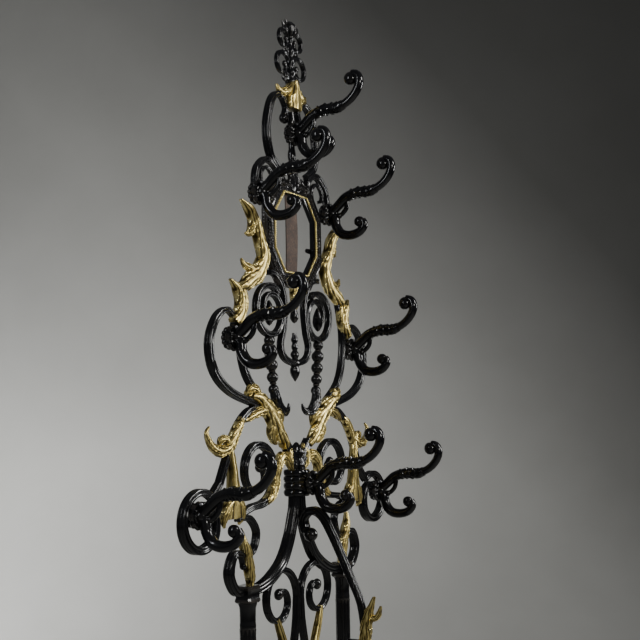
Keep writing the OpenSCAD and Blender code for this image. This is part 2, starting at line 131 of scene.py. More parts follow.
# %% Camera
LENS, SENSOR = 60.1, 36.0
EYE = Vector((-1.980, plane_y - 1.208, 1.2085))
AHEAD = Vector((0.86222, 0.49779, 0.09372))
ROLL = math.radians(-1.0)

camera_data = bpy.data.cameras.new("camera")
camera_data.lens = LENS
camera_data.sensor_width = SENSOR
camera = bpy.data.objects.new("camera", camera_data)
camera.location = EYE
turn = AHEAD.to_track_quat("-Z", "Y").to_matrix()
camera.rotation_euler = (turn @ Matrix.Rotation(ROLL, 3, "Z")).to_euler()
bpy.context.scene.collection.objects.link(camera)
bpy.context.scene.camera = camera
print("camera looks along", [round(v, 3) for v in AHEAD])


# %% Nodes made short
def node(tree, kind, at_xy=(0, 0), **values):
    """Adds a node and sets its properties or its input sockets by name."""
    made = tree.nodes.new(kind)
    made.location = at_xy
    for key, value in values.items():
        if hasattr(made, key):
            setattr(made, key, value)
        else:
            made.inputs[key.replace("_", " ")].default_value = value
    return made


def math_node(tree, operation, a, b=None, clamp=False):
    made = tree.nodes.new("ShaderNodeMath")
    made.operation = operation
    made.use_clamp = clamp
    for socket, value in zip(made.inputs, (a, b)):
        if value is None:
            continue
        if isinstance(value, (int, float)):
            socket.default_value = value
        else:
            tree.links.new(value, socket)
    return made.outputs[0]


def ramp(tree, factor, stops):
    made = tree.nodes.new("ShaderNodeValToRGB")
    for index, (place, colour) in enumerate(stops):
        elements = made.color_ramp.elements
        stop = elements[index] if index < 2 else elements.new(place)
        stop.position = place
        stop.color = (*colour, 1)
    tree.links.new(factor, made.inputs[0])
    return made.outputs[0]


def noise(tree, scale, detail=4, roughness=0.55):
    place = node(tree, "ShaderNodeTexCoord")
    made = node(tree, "ShaderNodeTexNoise", Scale=scale, Detail=detail, Roughness=roughness)
    tree.links.new(place.outputs["Object"], made.inputs["Vector"])
    return made.outputs["Fac"]


def bump(tree, height, strength, distance):
    made = node(tree, "ShaderNodeBump", Strength=strength, Distance=distance)
    tree.links.new(height, made.inputs["Height"])
    return made.outputs["Normal"]


def surface(name, **sockets):
    """A material with a principled shader; returns it with its tree and shader."""
    made = bpy.data.materials.new(name)
    made.use_nodes = True
    shader = made.node_tree.nodes["Principled BSDF"]
    for key, value in sockets.items():
        shader.inputs[key.replace("_", " ")].default_value = value
    return made, made.node_tree, shader


# %% Floor and wall
def sweep_floor():
    """One sheet: a floor that bends up into a wall behind the rack."""
    ahead = Vector((AHEAD.x, AHEAD.y, 0)).normalized()
    side = Vector((ahead.y, -ahead.x, 0))
    bend, far, reach, height = 1.0, 2.6, 6.0, 6.0
    line = [(-reach, 0), (far, 0)]
    line += [(far + bend * math.sin(a), bend - bend * math.cos(a))
             for a in [math.radians(9 * k) for k in range(1, 11)]]
    line += [(far + bend, height)]
    verts = [tuple(ahead * u + side * s * reach + Vector((0, 0, v))) for u, v in line
             for s in (-1, 1)]
    faces = [(2 * k, 2 * k + 1, 2 * k + 3, 2 * k + 2) for k in range(len(line) - 1)]
    mesh = bpy.data.meshes.new("studio_floor")
    mesh.from_pydata(verts, [], faces)
    for face in mesh.polygons:
        face.use_smooth = True
    floor = bpy.data.objects.new("studio_floor", mesh)
    bpy.context.scene.collection.objects.link(floor)
    return floor


floor_paint, tree, shader = surface("floor_paint", Roughness=0.85, Specular_IOR_Level=0.1)
tint = ramp(tree, noise(tree, 1.5), [(0.3, (0.42, 0.42, 0.40)), (0.7, (0.47, 0.47, 0.45))])
# Painted light falloff: the lamps' light dies away towards the upper right, so the paint is
# painted darker that way and lighter low on the left
upward = node(tree, "ShaderNodeVectorMath", operation="DOT_PRODUCT")
tree.links.new(node(tree, "ShaderNodeTexCoord").outputs["Object"], upward.inputs[0])
upward.inputs[1].default_value = Vector((AHEAD.y, -AHEAD.x,
    0)).normalized() * 0.23 + Vector((0, 0, 0.2))
painted_light_falloff = ramp(tree, upward.outputs["Value"], [(0.22, (0.89,) * 3), (0.92, (0.21,) * 3),
    (0.40, (0.75,) * 3), (0.55, (0.51,) * 3), (0.78, (0.24,) * 3)])
paint = node(tree, "ShaderNodeMix", data_type="RGBA", blend_type="MULTIPLY")
paint.inputs[0].default_value = 1
tree.links.new(tint, paint.inputs[6])
tree.links.new(painted_light_falloff, paint.inputs[7])
tree.links.new(paint.outputs[2], shader.inputs["Base Color"])
studio_floor = sweep_floor()
studio_floor.data.materials.append(floor_paint)
studio_floor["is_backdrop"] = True


# %% Lamps
def lamp(name, place, target, size, watts, tint=(1, 1, 1)):
    data = bpy.data.lights.new(name, "AREA")
    data.shape = "RECTANGLE"
    data.size, data.size_y = size
    data.energy = watts
    data.color = tint
    made = bpy.data.objects.new(name, data)
    made.location = place
    made.rotation_euler = (Vector(target) - Vector(place)).to_track_quat("-Z", "Y").to_euler()
    bpy.context.scene.collection.objects.link(made)


CROWN_MIDDLE = (0, plane_y, 1.4)
lamp("key", (0.6, -2.4, 3.0), CROWN_MIDDLE, (0.5, 0.9), 46, (1, 0.98, 0.95))
lamp("left_strip", (-2.4, 0.7, 2.3), CROWN_MIDDLE, (0.2, 1.2), 14, (0.95, 0.97, 1))
lamp("right_strip", (2.0, -1.9, 1.75), CROWN_MIDDLE, (0.3, 1.0), 34, (1, 1, 0.98))
lamp("front_fill", (-1.5, -2.8, 2.2), CROWN_MIDDLE, (0.6, 0.6), 32, (1, 0.98, 0.93))
lamp("wall_low", (1.0, 2.8, 0.5), (2.6, 2.9, 0.7), (2.2, 0.8), 46)
world = bpy.data.worlds.new("sky")
world.use_nodes = True
world.node_tree.nodes["Background"].inputs["Color"].default_value = (0.80, 0.82, 0.86, 1)
world.node_tree.nodes["Background"].inputs["Strength"].default_value = 0.13
bpy.context.scene.world = world

# %% [markdown]
# ## Finishes
# Four finishes cover the rack. Black stove enamel is smooth and thick, so a clear coat
# carries its shine, and it wears brown-grey where edges are rubbed. Gold leaf is bright
# on the ridges, and its hollows are painted almost black-brown as painted shade: each leaf
# stores how deep every point lies in an attribute called relief, and the material reads it.
# The strap behind the mirror is bare and rusty, and the screws are blackened steel.


# %% Black enamel
def black_enamel():
    made, tree, shader = surface("black_enamel", Coat_Weight=0.35, Coat_Roughness=0.05,
                                 Specular_IOR_Level=0.25)
    cloud = noise(tree, 34, 5)
    grain = noise(tree, 420, 3)
    geometry = node(tree, "ShaderNodeNewGeometry")
    edge = math_node(tree, "SUBTRACT", geometry.outputs["Pointiness"], 0.545)
    rubbed = math_node(tree, "MULTIPLY", edge, 9.0, clamp=True)
    rubbed = math_node(tree, "MULTIPLY", rubbed, cloud, clamp=True)
    mix = node(tree, "ShaderNodeMix", data_type="RGBA")
    base = ramp(tree, cloud, [(0.35, (0.0022, 0.0022, 0.003)), (0.7, (0.007, 0.0068, 0.0072))])
    tree.links.new(rubbed, mix.inputs[0])
    tree.links.new(base, mix.inputs[6])
    mix.inputs[7].default_value = (0.11, 0.095, 0.08, 1)
    tree.links.new(mix.outputs[2], shader.inputs["Base Color"])
    gloss = math_node(tree, "MULTIPLY_ADD", cloud, 0.16)
    gloss.node.inputs[2].default_value = 0.08
    tree.links.new(gloss, shader.inputs["Roughness"])
    skin = math_node(tree, "ADD", grain, cloud)
    tree.links.new(bump(tree, skin, 0.10, 0.0012), shader.inputs["Normal"])
    return made


# %% Gold leaf, with painted shade in its hollows
def gold_leaf():
    made, tree, shader = surface("gold_leaf", Metallic=0.95)
    relief = node(tree, "ShaderNodeAttribute", attribute_name="relief")
    grime = noise(tree, 90, 5, 0.65)
    fine = noise(tree, 380, 3)
    height = math_node(tree, "MULTIPLY_ADD", grime, 0.5)
    tree.links.new(relief.outputs["Fac"], height.node.inputs[2])
    shown = math_node(tree, "SUBTRACT", height, 0.25)
    # Painted shade: where the relief is low, in the hollows of the leaves, the colour runs
    # down to almost black-brown; the grime noise varies it at random
    colour = ramp(tree, shown, [(0.12, (0.014, 0.011, 0.005)), (0.92, (1.0, 0.85, 0.38)),
                                (0.38, (0.12, 0.088, 0.028)), (0.60, (0.60, 0.47, 0.165))])
    tree.links.new(colour, shader.inputs["Base Color"])
    rough = math_node(tree, "MULTIPLY_ADD", shown, -0.34)
    rough.node.inputs[2].default_value = 0.56
    rough.node.use_clamp = True
    tree.links.new(rough, shader.inputs["Roughness"])
    tree.links.new(bump(tree, math_node(tree, "ADD", grime, fine), 0.35, 0.0012),
                   shader.inputs["Normal"])
    return made


# %% Bare strap and blackened steel
def rusty_strap():
    made, tree, shader = surface("rusty_strap", Metallic=0.1)
    speck = noise(tree, 260, 4, 0.75)
    blot = noise(tree, 26, 3)
    mixed = math_node(tree, "MULTIPLY_ADD", speck, 0.7)
    tree.links.new(math_node(tree, "MULTIPLY", blot, 0.3), mixed.node.inputs[2])
    colour = ramp(tree, mixed, [(0.36, (0.018, 0.012, 0.009)), (0.66, (0.15, 0.098, 0.072)),
                                (0.5, (0.062, 0.040, 0.030))])
    tree.links.new(colour, shader.inputs["Base Color"])
    tree.links.new(ramp(tree, speck, [(0.3, (0.65,) * 3), (0.7, (0.9,) * 3)]),
                   shader.inputs["Roughness"])
    tree.links.new(bump(tree, mixed, 0.4, 0.0012), shader.inputs["Normal"])
    return made


def screw_steel():
    made, tree, shader = surface("screw_steel", Metallic=0.9)
    wear = noise(tree, 320, 4)
    tree.links.new(ramp(tree, wear, [(0.35, (0.05, 0.05, 0.055)), (0.65, (0.30, 0.30, 0.31))]),
                   shader.inputs["Base Color"])
    tree.links.new(ramp(tree, wear, [(0.3, (0.45,) * 3), (0.7, (0.22,) * 3)]),
                   shader.inputs["Roughness"])
    tree.links.new(bump(tree, wear, 0.2, 0.0006), shader.inputs["Normal"])
    return made


ENAMEL, GOLD, STRAP, STEEL = black_enamel(), gold_leaf(), rusty_strap(), screw_steel()

# %% [markdown]
# ## Lines and shells
# Nearly everything here is a line with a section swept along it, or a stack of rings.
# `smooth_line` bends a few given points into a curve that passes through them,
# `spiral` winds a volute, and `shell` skins a stack of rings into a closed mesh.


# %% Lines
def smooth_line(points, steps=7):
    """A Catmull-Rom curve through the points, as tuples of any length."""
    line = []
    for i in range(len(points) - 1):
        a, b = points[max(i - 1, 0)], points[i]
        c, d = points[i + 1], points[min(i + 2, len(points) - 1)]
        for k in range(steps):
            t = k / steps
            line.append(tuple(0.5 * (2 * q + (r - p) * t + (2 * p - 5 * q + 4 * r - s) * t *
                                     t + (3 * q - p - 3 * r + s) * t ** 3)
                              for p, q, r, s in zip(a, b, c, d)))
    return line + [tuple(points[-1])]


def curve(*points):
    """A smooth curve through points of the crown's drawing."""
    return smooth_line(crown(points))


def spiral(centre, r0, r1, a0, a1, count, power=1.0):
    """Points about a centre in the frame's plane; radii in mm, angles in degrees."""
    line = []
    for k in range(count + 1):
        t = k / count
        angle = math.radians(a0 + (a1 - a0) * t)
        radius = (r0 + (r1 - r0) * t ** power) * MM
        line.append((centre[0] + radius * math.cos(angle), centre[1] +
                     radius * math.sin(angle)))
    return line


def along(values, t):
    """The value at t from 0 to 1 along an evenly spaced list."""
    place = min(max(t, 0), 1) * (len(values) - 1)
    i = min(int(place), len(values) - 2)
    return values[i] + (values[i + 1] - values[i]) * (place - i)


def even(line, step):
    """The same line with its points spread evenly, about a step apart."""
    points = [Vector(p) for p in line]
    runs = [0.0]
    for a, b in zip(points, points[1:]):
        runs.append(runs[-1] + (b - a).length)
    count = max(int(runs[-1] / step), 4)
    spread, i = [], 0
    for k in range(count + 1):
        run = runs[-1] * k / count
        while i < len(runs) - 2 and runs[i + 1] < run:
            i += 1
        share = (run - runs[i]) / max(runs[i + 1] - runs[i], 1e-9)
        spread.append(points[i].lerp(points[i + 1], share))
    return spread


def turns(count):
    """Evenly spaced angles round a circle."""
    return [TAU * k / count for k in range(count)]


def heading(points, i):
    return (points[min(i + 1, len(points) - 1)] - points[max(i - 1, 0)]).normalized()


# %% Shells and pieces
def shell(rings, relief=None):
    """Skins a stack of equal rings and closes both ends with a fan."""
    count = len(rings[0])
    verts = [Vector(p) for ring in rings for p in ring]
    faces = []
    for i in range(len(rings) - 1):
        for k in range(count):
            m = (k + 1) % count
            faces.append((i * count + k, i * count + m, (i + 1) * count + m, (i + 1) * count +
                          k))
    heights = [h for ring in relief for h in ring] if relief else [0.6] * len(verts)
    for first, turned in ((0, True), ((len(rings) - 1) * count, False)):
        ring = verts[first:first + count]
        verts.append(sum(ring, Vector((0, 0, 0))) / count)
        heights.append(heights[first])
        for k in range(count):
            m = (k + 1) % count
            pair = (first + m, first + k) if turned else (first + k, first + m)
            faces.append((*pair, len(verts) - 1))
    return verts, faces, heights


def mesh_part(mesh, height):
    """A finished mesh as a shell with one relief height."""
    return ([v.co.copy() for v in mesh.vertices],
            [tuple(f.vertices) for f in mesh.polygons], [height] * len(mesh.vertices))


def mesh_from(name, parts, angle):
    """Joins shells into one mesh with outward faces and a relief attribute."""
    verts, faces, heights = [], [], []
    for part in parts:
        shift = len(verts)
        verts += part[0]
        faces += [tuple(v + shift for v in face) for face in part[1]]
        heights += part[2]
    mesh = bpy.data.meshes.new(name)
    mesh.from_pydata(verts, [], faces)
    mesh.attributes.new("relief", "FLOAT", "POINT").data.foreach_set("value", heights)
    work = bmesh.new()
    work.from_mesh(mesh)
    bmesh.ops.recalc_face_normals(work, faces=work.faces)
    work.to_mesh(mesh)
    work.free()
    mesh.shade_smooth()
    mesh.set_sharp_from_angle(angle=math.radians(angle))
    return mesh


def cast(name, parts, *nodes, finish=ENAMEL, body="rack", angle=50):
    """Makes a piece of shells, which rides on a body and stands for nodes."""
    mesh = mesh_from(name, parts, angle)
    piece = bpy.data.objects.new(name, mesh)
    bpy.context.scene.collection.objects.link(piece)
    mesh.materials.append(finish)
    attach(piece, body)
    if nodes:
        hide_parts(*nodes)
    print(name, len(mesh.polygons), "faces")

# %% [markdown]
# ## Sweeping a section along a line
# A founder's pattern for a scroll bar is one moulding bent along a line. Geometry Nodes
# do the same: a tree takes a line and a section, turns the section to face one
# direction all the way, scales it by the line's radius and skins it. The section of the
# bars is a flat oval with one broad groove on each face, which is what draws two long
# highlights along every scroll.


# %% How a tree begins and ends
def begin_tree(name, **sockets):
    """A Geometry Nodes tree with inputs of the given kinds, and its input node."""
    tree = bpy.data.node_groups.new(name, "GeometryNodeTree")
    for key, kind in sockets.items():
        tree.interface.new_socket(key, in_out="INPUT", socket_type="NodeSocket" + kind)
    tree.interface.new_socket("Geometry", in_out="OUTPUT",
                              socket_type="NodeSocketGeometry")
    return tree, node(tree, "NodeGroupInput"), tree.links.new


def end_tree(tree, given, geometry):
    """Makes the copies real, gives them their finish and sends them out."""
    real = node(tree, "GeometryNodeRealizeInstances")
    paint = node(tree, "GeometryNodeSetMaterial")
    link = tree.links.new
    link(geometry, real.inputs[0])
    link(real.outputs[0], paint.inputs["Geometry"])
    link(given.outputs["Finish"], paint.inputs["Material"])
    link(paint.outputs[0], node(tree, "NodeGroupOutput", (1400, 0)).inputs[0])
    return tree


# %% The sweep tree
def sweep_tree():
    tree, given, link = begin_tree("sweep", Path="Object", Profile="Object",
                                   Facing="Vector", Twist="Float", Finish="Material")
    path = node(tree, "GeometryNodeObjectInfo")
    section = node(tree, "GeometryNodeObjectInfo")
    normal = node(tree, "GeometryNodeSetCurveNormal")
    tilt = node(tree, "GeometryNodeSetCurveTilt")
    walked = node(tree, "GeometryNodeSplineParameter")
    skin = node(tree, "GeometryNodeCurveToMesh", Fill_Caps=True)
    radius = node(tree, "GeometryNodeInputRadius")
    if "Mode" in normal.inputs:
        normal.inputs["Mode"].default_value = "Free"
    else:
        normal.mode = "FREE"
    link(given.outputs["Path"], path.inputs["Object"])
    link(given.outputs["Profile"], section.inputs["Object"])
    link(path.outputs["Geometry"], normal.inputs["Curve"])
    link(given.outputs["Facing"], normal.inputs["Normal"])
    link(normal.outputs[0], tilt.inputs["Curve"])
    turned = math_node(tree, "MULTIPLY", walked.outputs["Length"], given.outputs["Twist"])
    link(turned, tilt.inputs["Tilt"])
    link(tilt.outputs[0], skin.inputs["Curve"])
    link(section.outputs["Geometry"], skin.inputs["Profile Curve"])
    if "Scale" in skin.inputs:
        link(radius.outputs[0], skin.inputs["Scale"])
    return end_tree(tree, given, skin.outputs[0])


SWEEP = sweep_tree()


# %% Running a tree and keeping its mesh
def line_object(name, lines, cyclic=False):
    """A curve object of straight runs; each line is points and half-widths."""
    data = bpy.data.curves.new(name, "CURVE")
    data.dimensions = "3D"
    for points, radii in lines:
        spline = data.splines.new("POLY")
        spline.points.add(len(points) - 1)
        for point, place, radius in zip(spline.points, points, radii):
            point.co = (*place, 1)
            point.radius = radius
        spline.use_cyclic_u = cyclic
    made = bpy.data.objects.new(name, data)
    bpy.context.scene.collection.objects.link(made)
    return made


def run_tree(tree, name, **inputs):
    """Runs a Geometry Nodes tree on an empty mesh and returns the plain result."""
    host = bpy.data.objects.new(name, bpy.data.meshes.new(name))
    bpy.context.scene.collection.objects.link(host)
    modifier = host.modifiers.new("made", "NODES")
    modifier.node_group = tree
    sockets = {item.name: item.identifier for item in tree.interface.items_tree
               if item.in_out == "INPUT"}
    for key, value in inputs.items():
        modifier[sockets[key.replace("_", " ")]] = value
    host.update_tag()
    graph = bpy.context.evaluated_depsgraph_get()
    mesh = bpy.data.meshes.new_from_object(host.evaluated_get(graph))
    bpy.data.objects.remove(host)
    mesh.name = name
    return mesh


def rounded(half_w, half_d, radius, count, mid=(0, 0)):
    """A rounded rectangle about a middle, from its right side round."""
    points = []
    for sx, sy, a0 in ((1, 1, 0), (-1, 1, 90), (-1, -1, 180), (1, -1, 270)):
        for k in range(count + 1):
            a = math.radians(a0 + 90 * k / count)
            points.append((mid[0] + sx * (half_w - radius) + radius * math.cos(a),
                           mid[1] + sy * (half_d - radius) + radius * math.sin(a)))
    return points


def section_points(count, depth, face, side, cut, corner=0.3):
    """A rounded bar of half-width 1 with grooves on its faces and on its sides."""
    corners = rounded(1, depth, corner, 8)
    points = []
    for p in even(corners + corners[:1], 8.0 / count)[:-1]:
        dip = sum(math.exp(-((p.x - q) / 0.16) ** 2) for q in face)
        nick = sum(math.exp(-((p.y / depth - q) / 0.15) ** 2) for q in side)
        on_face = min(max((abs(p.y) / depth - 0.6) / 0.3, 0), 1)
        on_side = min(max((abs(p.x) - 0.6) / 0.3, 0), 1)
        points.append(Vector((p.y * (1 - cut * dip * on_face),
                              p.x * (1 - cut * nick * on_side), 0)))
    return points


def section(name, *shape):
    points = section_points(*shape)
    return line_object(name, [(points, [1] * len(points))], cyclic=True)


SCROLL = section("scroll_section", 52, 1.22, (0.0,), (-0.36, 0.36), 0.24)
ARCH = section("arch_section", 60, 0.96, (-0.4, 0.4), (-0.45, 0.0, 0.45), 0.20, 0.2)
ROUND = section("round_section", 20, 1.0, (), (), 0.0, 0.98)
IN_PLANE = (0.0, 1.0, 0.0)


def swept(name, lines, *nodes, profile=SCROLL, finish=ENAMEL, facing=IN_PLANE, twist=0.0,
          extra=(), angle=50):
    """Sweeps a section along lines and joins any extra shells to the result."""
    path = line_object(name + "_path", lines)
    mesh = run_tree(SWEEP, name, Path=path, Profile=profile, Facing=facing, Twist=twist,
                    Finish=finish)
    bpy.data.objects.remove(path)
    cast(name, [mesh_part(mesh, 0.6), *extra], *nodes, finish=finish, angle=angle)


# %% Bars in the frame's plane
BAR_STEP = 0.004


def bar_line(line, half):
    """Points and half-widths for a bar; half is one size or a list along the bar, in mm."""
    points = even(line, BAR_STEP)
    last = len(points) - 1
    halves = half if isinstance(half, (list, tuple)) else [half, half]
    return ([Vector((p.x, plane_y, p.y)) for p in points],
            [along(halves, i / last) * MM for i in range(last + 1)])


def both_bars(line, half):
    return [bar_line(line, half), bar_line(flip(line), half)]


def lathe(profile, centre, axis="Z", count=32, lobes=0, depth=0.0):
    """Turns [radius, height] in mm about an axis through a point; lobes flute it."""
    rings = []
    for radius, height in profile:
        ring = []
        for angle in turns(count):
            r = max(radius, 0.01) * MM * (1 + depth * (abs(math.cos(lobes * angle / 2)) - 0.5)
                if lobes else 1)
            u, v, w = r * math.cos(angle), r * math.sin(angle), height * MM
            offset = (u, v, w) if axis == "Z" else (u, -w, v)
            ring.append(Vector(centre) + Vector(offset))
        rings.append(ring)
    return shell(rings)


def eye(x, z, radius, depth):
    """The button in the middle of a volute, domed on both faces."""
    steps = 9
    profile = [(radius * math.sin(math.pi * (k + 0.02) / (steps + 0.04)),
                -depth * math.cos(math.pi * k / steps)) for k in range(steps + 1)]
    return lathe(profile, (x, plane_y, z), "Y", 20)


def both_eyes(x, z, radius, depth):
    return [eye(x, z, radius, depth), eye(-x, z, radius, depth)]

# %% [markdown]
# ## The scroll bars
# The bars follow the same points as the parts that they stand for. Spirals are wound by
# rule, free curves pass through a few points, and most volutes end in a domed eye.

# %% Crest and loop scrolls
crest_line = curve((30, 1006), (24, 1028), (48, 1050), (82, 1030), (103, 965), (90, 908),
                   (58, 884))
swept("crest_scrolls", both_bars(crest_line, [5.5, 6, 6.8, 6.8, 6.8, 6]), "crest_bars",
      extra=both_eyes(*at(31, 1000), 12.5, 10))
loop_line = curve((64, 832), (62, 868), (82, 890), (112, 892), (142, 868), (150, 838),
                  (146, 813))
inner_loop = curve((84, 838), (82, 858), (96, 874), (114, 874), (128, 858), (126, 842),
                   (116, 838))
swept("hook_loops", both_bars(loop_line, 6.2) + both_bars(inner_loop, 3.6), "loops")

# %% Lyre and volutes
lyre_half = crown([(100, 652), (78, 650), (52, 628), (40, 588), (47, 535), (58, 500),
                   (44, 474), (0, 463)])
swept("lyre_scroll", [bar_line(smooth_line(lyre_half + flip(lyre_half)[-2::-1]), 5.8)],
      "lyre_bar")
volute_mid = at(99, 572)
volute_line = (spiral(volute_mid, 52, 52, 128, -120, 26) + spiral(volute_mid, 51, 14, -135,
    -430, 26))
BUD = [(0, 0), (5, 4), (10, 13), (11.5, 22), (10, 34), (6, 46), (2.5, 53), (0, 55)]
swept("inner_volutes", both_bars(volute_line, [6, 6, 6, 6, 5.4, 4.4]), "volutes",
      extra=[lathe(BUD, (s * at(101, 0)[0], plane_y, at(0, 538)[1]), "Z", 30, 10, 0.16)
             for s in (-1, 1)])

# %% Heart bars
heart_out = curve((236, 524), (232, 546), (258, 560), (294, 540), (316, 490), (300, 436),
                  (246, 398), (148, 372))
heart_in = curve((190, 614), (212, 545), (209, 480), (184, 424), (126, 380))
for s, name in SIDES:
    lines = [bar_line(on_side(heart_out, s), [4.5, 6, 7, 7, 7, 7, 6.5]),
             bar_line(on_side(heart_in, s), [5, 6.4, 6.4, 6])]
    swept("heart_scrolls_" + name, lines, "heart_" + name,
          extra=[eye(s * at(238, 0)[0], at(0, 520)[1], 9, 7)])

# %% Outer scrolls and spirals
ring_mid, spiral_mid = at(348, 155), at(152, 233)
ring_line = (curve((148, 368), (184, 360), (216, 338), (244, 304), (262, 268), (286, 222)) +
             spiral(ring_mid, 54, 54, 130, -130, 26) + spiral(ring_mid, 53, 16, -145, -325,
    14))
spiral_line = (curve((228, 148), (204, 160), (176, 168)) + spiral(spiral_mid, 63, 59, -90,
    -270, 20) + spiral(spiral_mid, 58, 15, -285, -600, 30))
spiral_eye = spiral(spiral_mid, 15, 15, -600, -600, 1)[0]
for s, name in SIDES:
    swept("ring_scroll_" + name, [bar_line(on_side(ring_line, s), [6, 6.5, 6.5, 7, 8, 8, 6])],
          "c_scroll_" + name)
    swept("spiral_scroll_" + name,
          [bar_line(on_side(spiral_line, s), [6, 7, 7, 7, 6.5, 5.5, 5])], "spiral_" + name,
          extra=[eye(s * spiral_eye[0], spiral_eye[1], 11, 9)])

# %% Tail scrolls, arch bars and crooks
tail_line = curve((216, 150), (184, 146), (160, 118), (172, 84), (196, 74))
curl_line = smooth_line([(post_x - DRAWN_POST + x * MM, post_top + z * MM)
                         for x, z in [(200, 6), (234, 10), (256, 44), (242, 80), (214, 78),
                                      (206, 56)]])
swept("tail_curls", both_bars(tail_line, [6, 6, 6, 5]) + both_bars(curl_line, [7, 8, 8, 7, 5]),
      "tail_scrolls", extra=both_eyes(curl_line[-1][0], curl_line[-1][1], 8.5, 8))
arch_x = 12 * MM
arch_line = smooth_line([(post_x - arch_x, post_top + 4 * MM)] +
                        between([(150, 7), (111, 19), (66, 48), (36, 92), (20, 134)]) +
                        [(arch_x, collar_low - 14 * MM), (arch_x, collar_high)] +
                        crown([(26, 268), (50, 296)]))
swept("arch_scrolls", both_bars(arch_line, [9, 10.5, 11, 10.5, 10, 10, 9]), "arch_bars",
      profile=ARCH)
CROOK, FOOT_X, BULGE = 74, 7, 74
crook_high = (CROOK * MM * scale_p, post_top - 30 * MM)
crook_low = (crook_high[0], base_top + (42 + 14 + 57) * MM)
crook_r = crook_high[0] / MM - FOOT_X
stem = [(FOOT_X * MM + BULGE * MM * scale_p * math.sin(math.pi * k / 14) ** 2, crook_high[1] +
         (crook_low[1] - crook_high[1]) * k / 14) for k in range(1, 14)]
crook_line = (spiral(crook_high, crook_r, 13, 180, -290, 40, 1.3)[::-1] +
              smooth_line(stem, 3) + spiral(crook_low, crook_r, 13, -180, 290, 40, 1.3))
ends = [crook_line[0], crook_line[-1]]
swept("panel_crooks", both_bars(crook_line, [5, 6, 6, 6.4, 6.4, 6, 6, 5]), "inner_scrolls",
      extra=[eye(s * x, z, 12, 9) for x, z in ends for s in (-1, 1)])

# %% [markdown]
# ## Acanthus leaves
# Each gilded leaf is cast round its bar: a midrib, lobes that sweep forward and end in a
# cut, and flutes that run along it. `leaf` draws that by rule on a stack
# of rings and keeps how high every point stands, so that the gold stays bright on the ridges
# and the hollows are painted dark as painted shade. One function serves every leaf, with its
# own line and widths.


# %% The leaf function
def leaf(line, widths, lobes=4, depth=12.0, notch=0.34, ribs=1.0, curl=4.0, sweep=0.55,
         place=None, back=7.0, flutes=2.2):
    """A lobed leaf along a 2-D line; widths in mm, place maps (u, v, out) to 3-D."""
    place = place or (lambda u, v, out: Vector((u, plane_y - out, v)))
    points = even(line, 0.0022)
    last = len(points) - 1
    count, rings, relief = 36, [], []
    for i, p in enumerate(points):
        t = i / last
        ahead = heading(points, i)
        across = Vector((-ahead.y, ahead.x))
        half = along(widths, t)
        fade = min(1.0, 6 * t, 6 * (1 - t))
        ring, heights = [], []
        for k in range(count):
            angle = TAU * (k + 0.5) / count
            u, out = math.cos(angle), math.sin(angle)
            wing = abs(u)
            phase = (t * lobes + (0.0 if u > 0 else 0.35)) % 1.0
            bite = 1 - math.sin(math.pi * phase ** 0.62) ** 0.55
            tooth = 0.10 * abs(math.sin(3 * math.pi * phase))
            reach = half * (1 - (notch * bite + tooth) * wing ** 2)
            rib = 0.5 + 0.5 * math.cos(TAU * (t * lobes * ribs - wing * flutes))
            spine = math.exp(-(u / 0.17) ** 2)
            rise = max(1 - wing ** 2.6, 0.0) ** 0.6
            size = min(1.0, half / 12)
            if out > 0:
                high = depth * size * rise + fade * size * (3.4 * (rib - 0.5) * (1 - spine) *
                    (0.35 + wing) + 2.0 * spine + curl * wing ** 3)
            else:
                high = -back * size * rise + fade * size * curl * 0.8 * wing ** 3
            slide = sweep * reach * wing ** 1.6 * min(1.0, 5 * (1 - t))
            flat = p + across * (math.copysign(wing, u) * reach * MM) + ahead * (slide * MM)
            ring.append(place(flat.x, flat.y, high * MM))
            # Relief for the gold: high on the ridges and the midrib, low in the flutes and
            # lobe cuts, where the gold is painted dark as painted shade
            heights.append(min(1.0, 0.16 + 0.62 * rib * (1 - spine) + 0.62 * spine +
                               0.30 * wing ** 4 - 0.25 * bite))
        rings.append(ring)
        relief.append(heights)
    return shell(rings, relief)


def leaf_set(s, rows):
    """One side's leaves, from rows of a line, its widths and its shape."""
    return [leaf(on_side(line, s), widths, **shape) for line, widths, shape in rows]


def both_leaves(line, widths, **shape):
    return [leaf(line, widths, **shape), leaf(flip(line), widths, **shape)]


def gold_eye(x, z, radius, out=9.0):
    """A small scroll button: a dome with a ring round it."""
    profile = [(radius * r, out * h) for r, h in [(0, -0.7), (0.9, -0.6), (1.0, 0),
        (0.86, 0.75), (0.62, 0.6), (0.5, 0.85), (0.3, 1.1), (0, 1.2)]]
    return lathe(profile, (x, plane_y, z), "Y", 20)


def gilded(name, parts, *nodes):
    cast(name, parts, *nodes, finish=GOLD, angle=60)


# %% Crest and mirror leaves
crest = [leaf(crown([(0, 1092), (0, 1074), (0, 1050), (0, 1026)]), [11, 22, 33, 26], lobes=2,
              depth=18, notch=0.24, curl=3, ribs=0, flutes=2.6)]
crest += both_leaves(curve((6, 1080), (22, 1064), (38, 1056), (52, 1058), (60, 1070)),
                     [9, 13, 12, 8, 3], lobes=2, curl=4)
gilded("crest_acanthus", crest, "crest_leaf")
top_leaf = [leaf(crown([(0, 840), (0, 858), (0, 880), (0, 902)]), [24, 26, 14, 3], lobes=3,
                 depth=8, curl=3, back=3)]
top_leaf += both_leaves(curve((12, 844), (30, 848), (42, 862), (36, 876)), [9, 10, 8, 3],
                        lobes=2, depth=7, back=3)
cast("mirror_top_leaf", top_leaf, "frame_leaf", angle=60)
gilded("lyre_top_leaf", [leaf(crown([(0, 636), (0, 618), (0, 598), (0, 576)]), [20, 17, 12, 3],
                              lobes=3, curl=3)], "drop_leaf")

